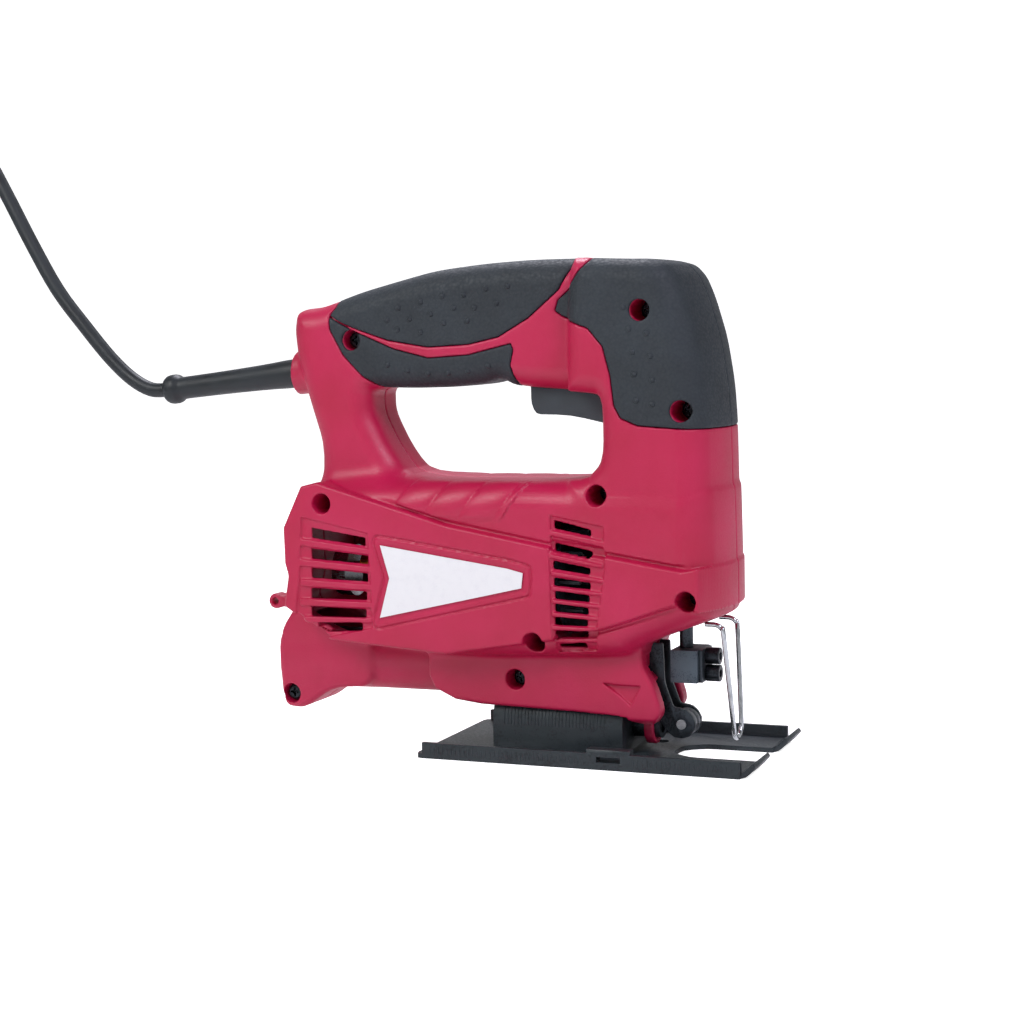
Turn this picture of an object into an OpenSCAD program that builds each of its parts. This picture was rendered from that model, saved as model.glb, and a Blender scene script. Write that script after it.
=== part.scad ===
// Corded jigsaw: D-handle clamshell body, series motor, spur gear and Scotch yoke,
// screw-clamp blade holder, backing roller and a stamped shoe that tilts on a half barrel.
// Millimetres. +X is the sawing direction, +Y is left, +Z is up, and the sole is at z = 0.

/* [Body] */
// Half width of the motor body
body_half = 31.5; // [30:0.5:33]
// Wall thickness of the moulded halves
wall = 2.5; // [2:0.1:3]
// Depth of the rubber grips
grip_depth = 2; // [1.5:0.1:2.5]
// Half width of the rear handle and its column
handle_half = 17.5; // [16:0.5:19]
// Diameter of the screw wells
well_d = 8.4; // [8:0.2:9]

/* [Shoe] */
// Length of the shoe
shoe_l = 143; // [140:1:146]
// Width of the shoe
shoe_w = 72.8; // [70:0.2:76]
// Thickness of the steel sheet
sheet = 2; // [1.5:0.1:2.2]
// Height of the side flanges
flange_h = 6.5; // [5:0.5:7]
// Outer radius of the half barrel that the shoe tilts on
barrel_r = 17; // [16.6:0.1:17]
// Width of the gap between the two prongs
prong_gap = 25; // [24:0.5:27]

/* [Drive] */
// Height of the motor axis
motor_z = 72; // [71:0.5:73]
// Teeth on the pinion
pinion_teeth = 8; // [8:1:8]
// Teeth on the drive gear
gear_teeth = 48; // [48:1:48]
// Gear module
gear_module = 1; // [1:0.1:1]
// Radius of the crank pin's circle, half of the stroke
crank_r = 7.5; // [6:0.5:8]
// Radius of the plunger rod
rod_r = 2.75; // [2.5:0.05:3]
// Running clearance of shafts in their bearings
running = 0.05; // [0.03:0.01:0.08]

/* [Dust port] */
// Bore diameter of the dust duct
duct_bore = 20; // [18:1:21]
// Outer diameter of the dust duct
duct_d = 24; // [23.5:0.5:24.5]

/* [Cord] */
// Diameter of the mains cord
cord_d = 6.5; // [6:0.1:7]
// Radius at the middle of the coil's turns
coil_r = 38; // [36:0.5:40]

/* [Hidden] */
$fn = 48;
tiny = 0.01;
far = 200;

tilt_z = 11.5;
shoe_front = 112.5;
shoe_rear = shoe_front - shoe_l;
gear_z = motor_z + gear_module * (pinion_teeth + gear_teeth) / 2;
plunger_x = 74.5;
// The crank rests part of the way up its circle
crank_rise = crank_r / 3;
crank_side = sqrt(crank_r * crank_r - crank_rise * crank_rise);
yoke_z = gear_z + crank_rise;
duct_z = 35;
// The trigger turns on a pin across the handle
pivot_x = 41.5;
pivot_z = 150.2;
pivot_r = 1.5;

// For each screw: x, z, how far its head is from the centre plane, and where its post
// starts and ends
wells = [[-64, 170.5, 9.2, 0, 13], [-73, 103.3, 12, 0, 28], [-99.5, 19.5, 9.2, 0, 0],
    [7, 31, 9.2, 0, 16.5], [20, 48.3, 12, 0, 28], [47.5, 107.4, 12, 9.6, 25],
    [84, 66.5, 12, 9.6, 28], [82.2, 140, 12, 9.6, 25], [66.3, 179.2, 12, 0, 25]];
screw_end = 12;
post_r = 5.5;

// The outlines below are lists of [x, z, reach of the rounded corner]
handle_outline = [[-83, 98, 1], [-82, 125, 6], [-88, 145, 12], [-93.5, 165, 8],
    [-92.5, 183, 6], [-62, 190.5, 8], [-27, 198, 12], [14, 200.2, 8], [34, 200.2, 1],
    [34, 98, 1]];
front_outline = [[94.8, 96, 1], [94.6, 133, 8], [92.5, 158, 10],
    [87, 182, 8], [81.5, 196.5, 7], [66, 199, 6], [40, 200.6, 4], [30, 200.6, 1],
    [30, 96, 1]];
body_outline = [[-96, 58, 3], [-71, 44, 8], [-18, 40, 20], [56, 43, 5], [63, 47.2, 2],
    [90, 57.2, 3], [96.2, 60, 2], [96.5, 80, 1], [94.8, 100, 4], [95.1, 111.5, 1],
    [-81.5, 111.5, 3], [-91, 93, 4], [-90.3, 75, 3]];
block_outline = [[-32, 20.5, 3], [47, 18.3, 3], [61.5, 14.8, 1.5], [66, 15, 1.5],
    [69.5, 20, 1.5], [66, 32, 2], [60, 41, 6], [62, 55, 2], [-32, 55, 2]];
rear_outline = [[-105, 22, 4], [-103, 13.5, 2], [-95, 13, 3], [-81, 21.5, 3],
    [-60, 24, 2], [-60, 47, 4], [-96, 60, 3], [-105, 45, 5]];
finger_outline = [[-39, 112, 8], [39, 112, 8], [48.4, 122, 8], [48.4, 145.5, 3],
    [41, 147.5, 4], [8, 150, 3], [1, 153.5, 3], [-7, 151, 4], [-57, 150, 4],
    [-57, 141, 4], [-50, 126.5, 4]];
upper_grip_region = [[-100, 200, 1], [-70, 179, 2], [-64, 174, 3], [-28, 165.5, 14],
    [3, 169.5, 8], [16, 177.5, 5], [29, 188, 1], [29, 210, 2], [-100, 210, 2]];
lower_grip_region = [[-60, 172, 2], [-28, 162.5, 14], [9, 168, 2], [8, 158, 2],
    [12, 140, 2], [-30, 140, 2], [-50, 148, 2], [-74, 170, 6], [-73, 177.5, 2]];
front_grip_region = [[44, 210, 2], [41, 192, 4], [35, 182, 2], [46, 171.5, 6],
    [52, 142, 4], [58, 135.5, 4], [110, 132.5, 2], [110, 210, 2]];
label_outline = [[-46, 86.5, 2], [-42.2, 73, 3], [-47, 56.5, 2], [16.2, 70.4, 2],
    [17, 76.5, 1], [10, 78.2, 2]];

// Cavities of the handle with its column, and of the front column, which narrows to its sides
handle_cavity = [[-76, 106, 1], [-77, 125, 6], [-83, 145, 10], [-88, 165, 6],
    [-87, 179, 5], [-60, 186, 8], [-27, 193, 10], [14, 195.4, 8], [36, 195.4, 1],
    [36, 156, 2], [3, 158, 4], [-7, 155.5, 4], [-61, 154.5, 3], [-61, 141, 4],
    [-54, 126, 4], [-44, 106, 1]];
front_cavity = [[50.9, 107, 1], [90, 107, 1], [89.8, 133, 6], [87.8, 158, 8], [82.4, 180, 6],
    [78, 192, 5], [66, 194.2, 4], [32, 195.8, 1], [32, 153, 2], [44, 152, 3], [50.9, 147, 3]];
front_side_cavity = [[51.1, 108, 1], [84.5, 108, 1], [84, 150, 8], [80, 172, 8],
    [73, 186, 5], [57, 186, 5], [51.1, 150, 3]];

// Each form of the casing: its outline, the half width of the full outline, the half width
// of the whole form, the step in between them, and the half width inside the rubber
handle_part = [handle_outline, 12.6, handle_half, 4, 15.5];
front_part = [front_outline, 19, 28.2, 6, 26.4];
body_part = [body_outline, 28.5, body_half, 3.5, 0];
block_part = [block_outline, 15.4, 18.6, 2.6, 0];
rear_part = [rear_outline, 11.5, 14.8, 2, 0];
PARTS = [handle_part, front_part, body_part, block_part, rear_part];

// Route of the cord from the guard to where it lies on the outermost turn of the coil
coil_x = -375;
cord_route = [[-165, 0, 150.6], [-174, 0, 151], [-184, 0, 156], [-195, 0, 165.5],
    [-208, 0, 180], [-222, 0, 197], [-236, 1, 219], [-250, 2, 243], [-264, 4, 264],
    [-280, 7, 279], [-298, 11, 285], [-315, 16, 279], [-328, 21, 262], [-336, 26, 235],
    [-340, 30, 200], [-341, 34, 160], [-341, 38, 120], [-340, 41, 80], [-340, 43, 45],
    [-344, 44, 22], [-356, 44.5, 8], [-375, 44.5, 3.25]];
tail_route = [[-375, 44.5, 9.75], [-392, 43.5, 9.75], [-408, 37, 9.75],
    [-422, 30, 9.2], [-434, 27, 8.5]];

// ---------- helpers ----------

function unit(v) = v / norm(v);

function flat(q) = [q[0], q[1]];

// A point on the way from o to q, at the distance given or just short of halfway
function towards(o, q, reach) = o + (q - o) * min(reach / norm(q - o), 0.45);

// An outline with each corner replaced by a curve that starts and ends at its reach
function rounded(p, steps = 2) = [for (i = [0 : len(p) - 1])
    let (o = flat(p[i]), reach = p[i][2],
        s = towards(o, flat(p[(i + len(p) - 1) % len(p)]), reach),
        e = towards(o, flat(p[(i + 1) % len(p)]), reach))
    for (k = [0 : steps])
        let (t = k / steps) s * (1 - t) * (1 - t) + o * 2 * t * (1 - t) + e * t * t];

// Twice the signed area, positive for an anticlockwise outline
function turning(p, i = 0) = i == len(p) ? 0 :
    let (a = p[i], b = p[(i + 1) % len(p)]) a[0] * b[1] - a[1] * b[0] + turning(p, i + 1);

// An outline moved inwards by d, or outwards where d is negative
function inset(p, d) = let (side = sign(turning(p))) [for (i = [0 : len(p) - 1])
    let (a = flat(p[(i + len(p) - 1) % len(p)]), b = flat(p[i]),
        c = flat(p[(i + 1) % len(p)]), u = unit(b - a) * side, v = unit(c - b) * side,
        n = [-u[1], u[0]], m = [-v[1], v[0]], q = b + (n + m) * d / (1 + n * m))
    [q[0], q[1], p[i][2]]];

// Points between four neighbours of a route, on a smooth curve
function between(a, b, c, d, t) = 0.5 * (2 * b + (c - a) * t
    + (2 * a - 5 * b + 4 * c - d) * t * t + (3 * b - a - 3 * c + d) * t * t * t);

function smooth_route(p, steps) = concat([for (i = [0 : len(p) - 2]) for (k = [0 : steps - 1])
    let (a = i == 0 ? 2 * p[0] - p[1] : p[i - 1],
        d = i == len(p) - 2 ? 2 * p[i + 1] - p[i] : p[i + 2])
    between(a, p[i], p[i + 1], d, k / steps)], [p[len(p) - 1]]);

// An outline in the XZ plane, extruded to both sides of the centre plane
module from_side(half = far / 2) {
    rotate([90, 0, 0])
        linear_extrude(2 * half, center = true)
            children();
}

module along_x(x0, x1, r, y = 0, z = 0) {
    translate([x0, y, z])
        rotate([0, 90, 0])
            cylinder(x1 - x0, r, r);
}

module along_y(y0, y1, r, x = 0, z = 0) {
    translate([x, y0, z])
        rotate([-90, 0, 0])
            cylinder(y1 - y0, r, r);
}

module block(x0, x1, y0, y1, z0, z1) {
    translate([x0, y0, z0])
        cube([x1 - x0, y1 - y0, z1 - z0]);
}

module ring_x(x0, x1, outer, inner, y = 0, z = 0) {
    difference() {
        along_x(x0, x1, outer, y, z);
        along_x(x0 - 1, x1 + 1, inner, y, z);
    }
}

// A round tube of radius r swept along a route
module swept(p, r, sides) {
    n = len(p);
    rings = [for (i = [0 : n - 1])
        let (d = unit(p[min(i + 1, n - 1)] - p[max(i - 1, 0)]),
            flat = abs(d[1]) > 0.9 ? [1, 0, 0] : [0, 1, 0],
            u = unit(cross(flat, d)), v = cross(d, u))
        for (k = [0 : sides - 1])
            p[i] + r * (cos(360 * k / sides) * u + sin(360 * k / sides) * v)];
    walls = [for (i = [0 : n - 2]) for (k = [0 : sides - 1])
        let (a = i * sides + k, b = i * sides + (k + 1) % sides)
        for (f = [[a, a + sides, b], [b, a + sides, b + sides]]) f];
    ends = [[for (k = [0 : sides - 1]) k],
        [for (k = [sides - 1 : -1 : 0]) (n - 1) * sides + k]];
    polyhedron(rings, concat(walls, ends));
}

// A spur gear's outline with plain straight-flanked teeth
module toothed(teeth, tip, root, turn = 0) {
    pitch = 360 / teeth;
    polygon([for (i = [0 : teeth - 1])
        for (q = [[-0.27, root], [-0.12, tip], [0.12, tip], [0.27, root]])
            let (a = turn + pitch * (i + q[0])) q[1] * [cos(a), sin(a)]]);
}

// ---------- the split casing ----------

// A slab of one side's half, between two distances from the centre plane
module slab(side, y0, y1) {
    mirror([0, side > 0 ? 1 : 0, 0])
        rotate([90, 0, 0])
            translate([0, 0, y0])
                linear_extrude(y1 - y0)
                    children();
}

module shape(outline, d = 0) {
    polygon(rounded(inset(outline, d)));
}

module form(side, part) {
    slab(side, 0, part[1]) shape(part[0]);
    slab(side, 0, part[2]) shape(part[0], part[3]);
}

module finger_gap(side) {
    slab(side, -1, far / 2) shape(finger_outline);
}

// Rubber over the side and round the edge of a form
module rubber(side, part, region) {
    difference() {
        intersection() {
            form(side, part);
            slab(side, -1, far / 2) shape(region);
        }
        slab(side, -1, part[1] - grip_depth) shape(part[0], grip_depth);
        slab(side, -2, part[4]) shape(part[0], part[3] + grip_depth);
        finger_gap(side);
    }
}

module cavities(side) {
    slab(side, -1, 27.5) shape(body_outline, 2.5);
    slab(side, -1.1, 15.2) shape(block_outline, 2.7);
    slab(side, -1.2, 12.2) shape(handle_cavity);
    slab(side, -1.3, 16) shape(front_cavity);
    slab(side, -1.4, 23.5) shape(front_side_cavity);
}

// Clearance drillings on both sides, and head wells on the right
module screw_wells(side) {
    for (w = wells) {
        if (side < 0) along_y(-far / 2, -w[2], well_d / 2, w[0], w[1]);
        along_y(side < 0 ? -w[2] - 1 : -1, side < 0 ? 1 : screw_end, 2.2, w[0], w[1]);
    }
}

module screw_posts(side) {
    for (w = wells)
        if (w[4] > 0)
            slab(side, w[3], w[4]) translate([w[0], w[1]]) circle(post_r);
}

rear_vents = 6;
front_vents = 9;
vent_pitch_rear = 8.3;
vent_pitch_front = 6.4;

module vent_slots(side) {
    slab(side, 26, 40) {
        for (i = [0 : rear_vents - 1])
            translate([-65, 93 - vent_pitch_rear * i])
                rotate(6 * i - 11)
                    square([27, 4], center = true);
        for (i = [0 : front_vents - 1])
            translate([39, 98 - vent_pitch_front * i])
                rotate(2 * i - 11)
                    square([19, 3], center = true);
    }
}

// Openings for the trigger, the plunger, the fork, the guard's wire and the lock button
module mouths(side) {
    slab(side, -3, 9.2) translate([11.5, 130]) square([35.7, 26]);
    slab(side, -3.1, 9.4) translate([69, 44]) square([12, 13]);
    slab(side, -3.2, 11.8) translate([52, 10]) square([48, 36]);
    slab(side, 8.4, 11.6) translate([84, 45]) square([9.5, 13.7]);
    slab(side, -3.4, 3.2) translate([23.6, 150]) square([6.8, 9]);
    slab(side, -3.5, 12) translate([pivot_x, pivot_z]) circle(pivot_r);
    if (side > 0) slab(side, 5, far / 4) translate([30, 168]) circle(5.3);
}

module half_shell(side) {
    difference() {
        union() {
            difference() {
                for (part = PARTS) form(side, part);
                cavities(side);
            }
            screw_posts(side);
        }
        finger_gap(side);
        rubber(side, handle_part, upper_grip_region);
        rubber(side, handle_part, lower_grip_region);
        rubber(side, front_part, front_grip_region);
        screw_wells(side);
        vent_slots(side);
        mouths(side);
        // Saddle for the half barrel, seat of the dust duct, and hole for the cord guard
        along_x(-33, 55, barrel_r + 0.3, 0, tilt_z);
        // Room for the barrel's straight walls when the shoe is tilted
        for (tilt = [-45, 45])
            translate([0, 0, tilt_z])
                rotate([tilt, 0, 0])
                    block(-33, 55, -barrel_r - 0.3, barrel_r + 0.3, -12, 0);
        along_x(-110, -40, duct_d / 2, 0, duct_z);
        translate(guard_start) rotate(guard_turn) cylinder(20, guard_r, guard_r);
    }
    difference() {
        union() {
            along_x(58, 62, 7.5, 0, tilt_z);
            block(58, 60.5, -16, 16, tilt_z + 5.5, 24);
        }
        along_x(57, 63, 5, 0, tilt_z);
        block(50, 70, side < 0 ? 0 : -far, side < 0 ? far : 0, -far, far);
    }
}

module grip(side, part, region) {
    color("#2f2f33")
        difference() {
            rubber(side, part, region);
            screw_wells(side);
        }
}

// ---------- casing ----------

module housing_right() {
    color("#c4173f") {
        half_shell(-1);
        // Lug behind the rear wall
        difference() {
            union() {
                along_y(-9, -2.6, 3.3, -109.2, 58.5);
                block(-109.2, -96, -9, -2.6, 56.5, 60.5);
            }
            along_y(-10, -1, 1.6, -109.2, 58.5);
        }
    }
}

module housing_left() {
    color("#c4173f") {
        half_shell(1);
        // Two clips for the hex key, open to the rear
        for (z = [72, 86], y = [19.2, 24.6])
            block(-99, -88, y, y + 1.2, z, z + 5);
    }
}

module grip_upper_right() { grip(-1, handle_part, upper_grip_region); }
module grip_upper_left() { grip(1, handle_part, upper_grip_region); }
module grip_lower_right() { grip(-1, handle_part, lower_grip_region); }
module grip_lower_left() { grip(1, handle_part, lower_grip_region); }
module grip_front_right() { grip(-1, front_part, front_grip_region); }
module grip_front_left() { grip(1, front_part, front_grip_region); }

module rating_label() {
    color("#e4e6e8")
        translate([0, -body_half - 0.25, 0])
            from_side(0.25) polygon(rounded(label_outline));
}

module housing_screws() {
    color("#3a3a3c")
        for (w = wells) {
            along_y(-w[2] - 2.6, -w[2], 3.6, w[0], w[1]);
            along_y(-w[2], screw_end - 0.2, 1.8, w[0], w[1]);
        }
}

// ---------- motor ----------

module motor_stator() {
    color("#8b8f94") ring_x(-46, -2, 25, 15, 0, motor_z);
}

module field_coils() {
    color("#b5651d")
        for (x = [-54, -2]) ring_x(x, x + 8, 23, 16.5, 0, motor_z);
}

module armature_core() {
    color("#9aa0a6") ring_x(-46, -2, 14.6, 4, 0, motor_z);
}

module armature_windings() {
    color("#b87333")
        for (x = [-52, -2]) ring_x(x, x + 6, 12.5, 4, 0, motor_z);
}

module armature_shaft() {
    color("#b9bdc2") {
        along_x(-81, 51, 4, 0, motor_z);
        along_x(51, 64, 2, 0, motor_z);
    }
}

module commutator() {
    color("#c98850") ring_x(-68, -56, 9, 4, 0, motor_z);
}

module cooling_fan() {
    color("#1f1f21") {
        ring_x(27, 38, 7, 4, 0, motor_z);
        ring_x(27, 28.5, 23.5, 7, 0, motor_z);
        for (a = [0 : 30 : 330])
            translate([28.4, 0, motor_z])
                rotate([a, 0, 0])
                    translate([0, -0.6, 6.9])
                        cube([9.4, 1.2, 16.4]);
    }
}

module ball_bearing(x0, x1, outer, inner) {
    color("#c7cbd0")
        difference() {
            along_x(x0, x1, outer, 0, motor_z);
            along_x(x0 - 1, x1 + 1, inner, 0, motor_z);
        }
}

module front_bearing() { ball_bearing(43, 50, 11, 4 + running); }
module rear_bearing() { ball_bearing(-80, -73, 11, 4 + running); }

module pinion() {
    root = gear_module * (pinion_teeth / 2 - 1.15);
    tip = gear_module * (pinion_teeth / 2 + 0.7);
    color("#a4a8ad")
        difference() {
            translate([54, 0, motor_z])
                rotate([90, 0, 90])
                    linear_extrude(10) toothed(pinion_teeth, tip, root, 90 + 180 / pinion_teeth);
            along_x(53, 65, 2, 0, motor_z);
        }
}

module carbon_brushes() {
    color("#2a2a2c")
        for (side = [-1, 1])
            translate([-62, side * 14.6, motor_z]) cube([6, 10.8, 6], center = true);
}

module brush_holders() {
    color("#c9a227")
        for (side = [-1, 1])
            difference() {
                translate([-62, side * 18.5, motor_z]) cube([8.4, 13, 8.4], center = true);
                translate([-62, side * 17.5, motor_z]) cube([6.1, 13, 6.1], center = true);
            }
}

module brush_springs() {
    color("#b9bdc2")
        for (side = [-1, 1])
            along_y(side < 0 ? -23.8 : 20.1, side < 0 ? -20.1 : 23.8, 2.4, -62, motor_z);
}

// ---------- gear, yoke and plunger ----------

module gear_case() {
    color("#a9adb1")
        difference() {
            union() {
                block(51.2, 54.4, -19, 19, 56, 136);
                along_x(43.2, 54.4, 13.5, 0, motor_z);
                along_x(49.6, 54.4, 8, 0, gear_z);
                block(51.2, 81, -7, 7, 56, 65.5);
                block(51.2, 81, -7, 7, 127, 136);
            }
            along_x(42, 50, 11, 0, motor_z);
            along_x(49, 56, 6.5, 0, motor_z);
            along_x(42, 56, 4 + running, 0, gear_z);
            translate([plunger_x, 0, 50]) cylinder(90, 5, 5);
            // Room for a screw post
            for (side = [-1, 1])
                along_y(side < 0 ? -20 : 9, side < 0 ? -9 : 20, post_r + 0.3, 47.5, 107.4);
        }
}

module drive_gear() {
    root = gear_module * (gear_teeth / 2 - 1.15);
    tip = gear_module * (gear_teeth / 2 + 0.7);
    color("#8e9297")
        difference() {
            translate([56, 0, gear_z])
                rotate([90, 0, 90])
                    linear_extrude(7) toothed(gear_teeth, tip, root, -90);
            along_x(55, 64, 4, 0, gear_z);
            for (a = [60 : 60 : 300])
                rotate_about_gear(a + atan2(crank_rise, crank_side))
                    along_x(55, 64, 4, 14, gear_z);
        }
}

module rotate_about_gear(a) {
    translate([0, 0, gear_z])
        rotate([a, 0, 0])
            translate([0, 0, -gear_z])
                children();
}

module gear_shaft() {
    color("#b9bdc2") along_x(49.8, 62.8, 4, 0, gear_z);
}

module crank_pin() {
    color("#b9bdc2") along_x(63, 66.4, 2.5, crank_side, yoke_z);
}

module crank_roller() {
    color("#d0d3d6") ring_x(63.2, 66.2, 4.5, 2.5, crank_side, yoke_z);
}

module plunger_yoke() {
    color("#8e9297")
        difference() {
            union() {
                block(67.4, 71.4, -15.5, 15.5, yoke_z - 8, yoke_z + 8);
                block(67.4, 79, -4.6, 4.6, yoke_z - 8, yoke_z + 8);
            }
            block(66, 73.2 - rod_r - 0.4, -12.3, 12.3, yoke_z - 4.7, yoke_z + 4.7);
            translate([plunger_x, 0, yoke_z - 10]) cylinder(20, rod_r, rod_r);
        }
}

module plunger_rod() {
    color("#3a3c40") translate([plunger_x, 0, 40]) cylinder(105, rod_r, rod_r);
}

module bush(z0, z1) {
    color("#b08d57")
        translate([plunger_x, 0, z0])
            difference() {
                cylinder(z1 - z0, 5, 5);
                translate([0, 0, -1]) cylinder(z1 - z0 + 2, rod_r + running, rod_r + running);
            }
}

module lower_bush() { bush(56, 65.5); }
module upper_bush() { bush(127, 136); }

screw_heights = [34, 41];

module clamp_block() {
    color("#5f6265")
        difference() {
            block(70.5, 81.5, -9, 9, 31, 44);
            translate([plunger_x, 0, 40]) cylinder(10, rod_r, rod_r);
            // Socket for the blade's shank
            block(74.8, 79.2, -0.9, 0.9, 30, 40);
            for (z = screw_heights) along_x(79, 82, 1.6, 0, z);
        }
}

module clamp_plate() {
    color("#3b3d40")
        difference() {
            block(81.5, 83, -7, 7, 31, 44);
            for (z = screw_heights) along_x(81, 84, 1.6, 0, z);
        }
}

module clamp_screws() {
    color("#1d1d1f")
        for (z = screw_heights) {
            along_x(79.2, 83, 1.6, 0, z);
            difference() {
                along_x(83, 88.6, 3.4, 0, z);
                translate([86, 0, z])
                    rotate([0, 90, 0])
                        cylinder(4, 1.75, 1.75, $fn = 6);
            }
        }
}

// ---------- front underside ----------

roller_x = 73.5;
roller_z = 13.4;
roller_r = 5.4;

module roller_fork() {
    cheek = [[66, 12, 2], [70, 7.5, 3], [77.5, 8, 4], [79.5, 15, 3], [75.5, 19.6, 2],
        [70, 20.3, 1], [66.5, 30, 2], [66, 46, 0.5], [57, 46, 0.5], [57, 34, 2]];
    color("#2e3033")
        difference() {
            union() {
                for (side = [-1, 1])
                    translate([0, side * 4.6, 0])
                        from_side(0.75) polygon(rounded(cheek));
                block(57, 58.5, -5.3, 5.3, 34, 46);
            }
            along_y(-10, 10, 2, roller_x, roller_z);
        }
}

module roller_pin() {
    color("#8e9297") along_y(-5.9, 5.9, 2, roller_x, roller_z);
}

module guide_roller() {
    color("#8a8780")
        difference() {
            union() {
                along_y(-3.4, -1, roller_r, roller_x, roller_z);
                along_y(-1, 1, roller_r - 0.9, roller_x, roller_z);
                along_y(1, 3.4, roller_r, roller_x, roller_z);
            }
            along_y(-4, 4, 2 + running, roller_x, roller_z);
        }
}

module wire_guard() {
    turn_z = 13.7;
    turn_r = 5.5;
    half_wire = [[85.5, -10, 55.2], [90, -10, 55], [92.3, -10, 53.4], [93, -9.8, 50]];
    bottom = [for (a = [180 : 22.5 : 360])
        [95.2, turn_r * cos(a), turn_z + turn_r * sin(a)]];
    color("#c2c6ca")
        swept(concat(half_wire, bottom,
            [for (i = [3 : -1 : 0]) [half_wire[i][0], -half_wire[i][1], half_wire[i][2]]]), 1, 8);
}

// ---------- shoe ----------

module shoe() {
    half = shoe_w / 2;
    gap = prong_gap / 2;
    tip_x = shoe_front - 6;
    plan = [[shoe_rear, -half, 3], [tip_x, -half, 1], [tip_x, -gap, 1], [79, -gap, 3],
        [70, -7, 4], [70, 7, 4], [79, gap, 3], [tip_x, gap, 1], [tip_x, half, 1],
        [shoe_rear, half, 3]];
    curl = [[tip_x - 1, 0, 0.2], [tip_x + 2, 0.5, 1.5], [shoe_front, 4.8, 1],
        [shoe_front - 1.4, 6.2, 0.6], [tip_x + 1, sheet + 0.6, 1], [tip_x - 1, sheet, 0.2]];
    barrel_rear = -4;
    barrel_front = 52.3;
    color("#26282b")
        difference() {
            union() {
                linear_extrude(sheet) polygon(rounded(plan));
                for (side = [-1, 1]) {
                    block(shoe_rear + 3, tip_x, side < 0 ? -half : half - sheet,
                        side < 0 ? -half + sheet : half, sheet - tiny, flange_h);
                    // The fence guide is a taller stretch of the flange
                    block(44, 62, side < 0 ? -half : half - 5, side < 0 ? -half + 5 : half,
                        sheet - tiny, flange_h + 1.6);
                    // The prong tips curl up
                    translate([0, side * (half + gap) / 2, 0])
                        from_side((half - gap) / 2 - 1) polygon(rounded(curl));
                }
                // The half barrel stands on two straight walls
                along_x(barrel_rear, barrel_front, barrel_r, 0, tilt_z);
                block(barrel_rear, barrel_front, -barrel_r, barrel_r, sheet - tiny, tilt_z);
            }
            // Inside of the barrel
            along_x(barrel_rear + sheet, barrel_front - sheet, barrel_r - sheet, 0, tilt_z);
            block(barrel_rear + sheet, barrel_front - sheet, -barrel_r + sheet,
                barrel_r - sheet, -1, tilt_z);
            block(-far, far, -far, far, -far, 0);
            along_x(barrel_rear - 1, barrel_rear + 4, 3 + running, 0, tilt_z);
            along_x(barrel_front - 4, barrel_front + 1, 5 + running, 0, tilt_z);
            // Fence slots and the holes ahead of the barrel
            for (side = [-1, 1]) {
                block(48, 58, side * half - 6, side * half + 6, 3, 5.2);
                translate([59, side * 13, -1]) cylinder(5, 3, 3);
            }
        }
}

module pivot_bolt() {
    color("#3a3c40") {
        translate([-9.2, 0, tilt_z]) rotate([0, 90, 0]) cylinder(5, 5.6, 5.6, $fn = 6);
        along_x(-4.2, 62, 3, 0, tilt_z);
    }
}

module pivot_sleeve() {
    color("#3a3c40") ring_x(49, 64, 5, 3, 0, tilt_z);
}

module dust_duct() {
    color("#2b2b2e") ring_x(-104, -40, duct_d / 2, duct_bore / 2, 0, duct_z);
}

module hex_key() {
    color("#9da1a5") {
        translate([-97.2, 22.5, 62]) cylinder(54, 2, 2, $fn = 6);
        translate([-97.2, 22.5, 62]) rotate([90, 0, 0]) cylinder(17, 2, 2, $fn = 6);
    }
}

// ---------- controls ----------

module trigger() {
    shape = [[13, 152.5, 1], [13, 143, 2], [15, 138.6, 2], [30, 138.2, 6], [45.5, 134.6, 1],
        [45.6, 152.5, 1]];
    color("#333337")
        difference() {
            from_side(8.4) polygon(rounded(shape));
            translate([27, 0, 147.5]) cylinder(6, 3.2, 3.2);
            along_y(-9, 9, pivot_r + running, pivot_x, pivot_z);
        }
}

module trigger_pin() {
    color("#b9bdc2") along_y(-12, 12, pivot_r, pivot_x, pivot_z);
}

module trigger_spring() {
    color("#b9bdc2")
        translate([27, 0, 150]) difference() {
            cylinder(7.8, 2.6, 2.6);
            translate([0, 0, -1]) cylinder(10, 1.8, 1.8);
        }
}

module switch_body() {
    color("#1f1f21") block(-1, 41, -9, 9, 157.8, 176);
}

module lock_button() {
    color("#1f1f21") along_y(14.2, 21.5, 5, 30, 168);
}

module lock_spring() {
    color("#b9bdc2")
        difference() {
            along_y(9, 10.6, 3.5, 30, 168);
            along_y(8, 12, 2.5, 30, 168);
        }
}

// ---------- cord ----------

guard_start = [-88, 0, 158.1];
guard_turn = [0, -95.57, 0];
guard_r = 6.2;
guard_l = 77.4;

module cord_clamp() {
    color("#2a2a2c") block(-84, -78, -8, 8, 154, 163);
}

module cord_guard() {
    // Radius along the strain relief, from inside the housing to the bead at its end
    color("#17181a")
        translate(guard_start)
            rotate(guard_turn)
                rotate_extrude()
                    polygon([[0, 0], [guard_r, 0], [guard_r, 16], [5.9, 18], [4.9, 69],
                        [6.5, 72], [6.5, 76], [5.8, guard_l], [0, guard_l]]);
}

module cord_lead() {
    color("#17181a") swept(smooth_route(cord_route, 2), cord_d / 2, 8);
}

module cord_tail() {
    color("#17181a") swept(smooth_route(tail_route, 2), cord_d / 2, 8);
}

module cord_coil() {
    width = 1.5 * cord_d;
    color("#17181a") {
        translate([coil_x, 0, 0])
            rotate_extrude()
                translate([coil_r - width, 0]) square([2 * width, 2 * cord_d]);
    }
}

module plug() {
    color("#17181a") {
        block(-470, -434, 14, 40, 0, 17);
    }
    color("#c7cbd0")
        for (y = [17.5, 36.5]) along_x(-489, -470, 2.3, y, 8.5);
}

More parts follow.
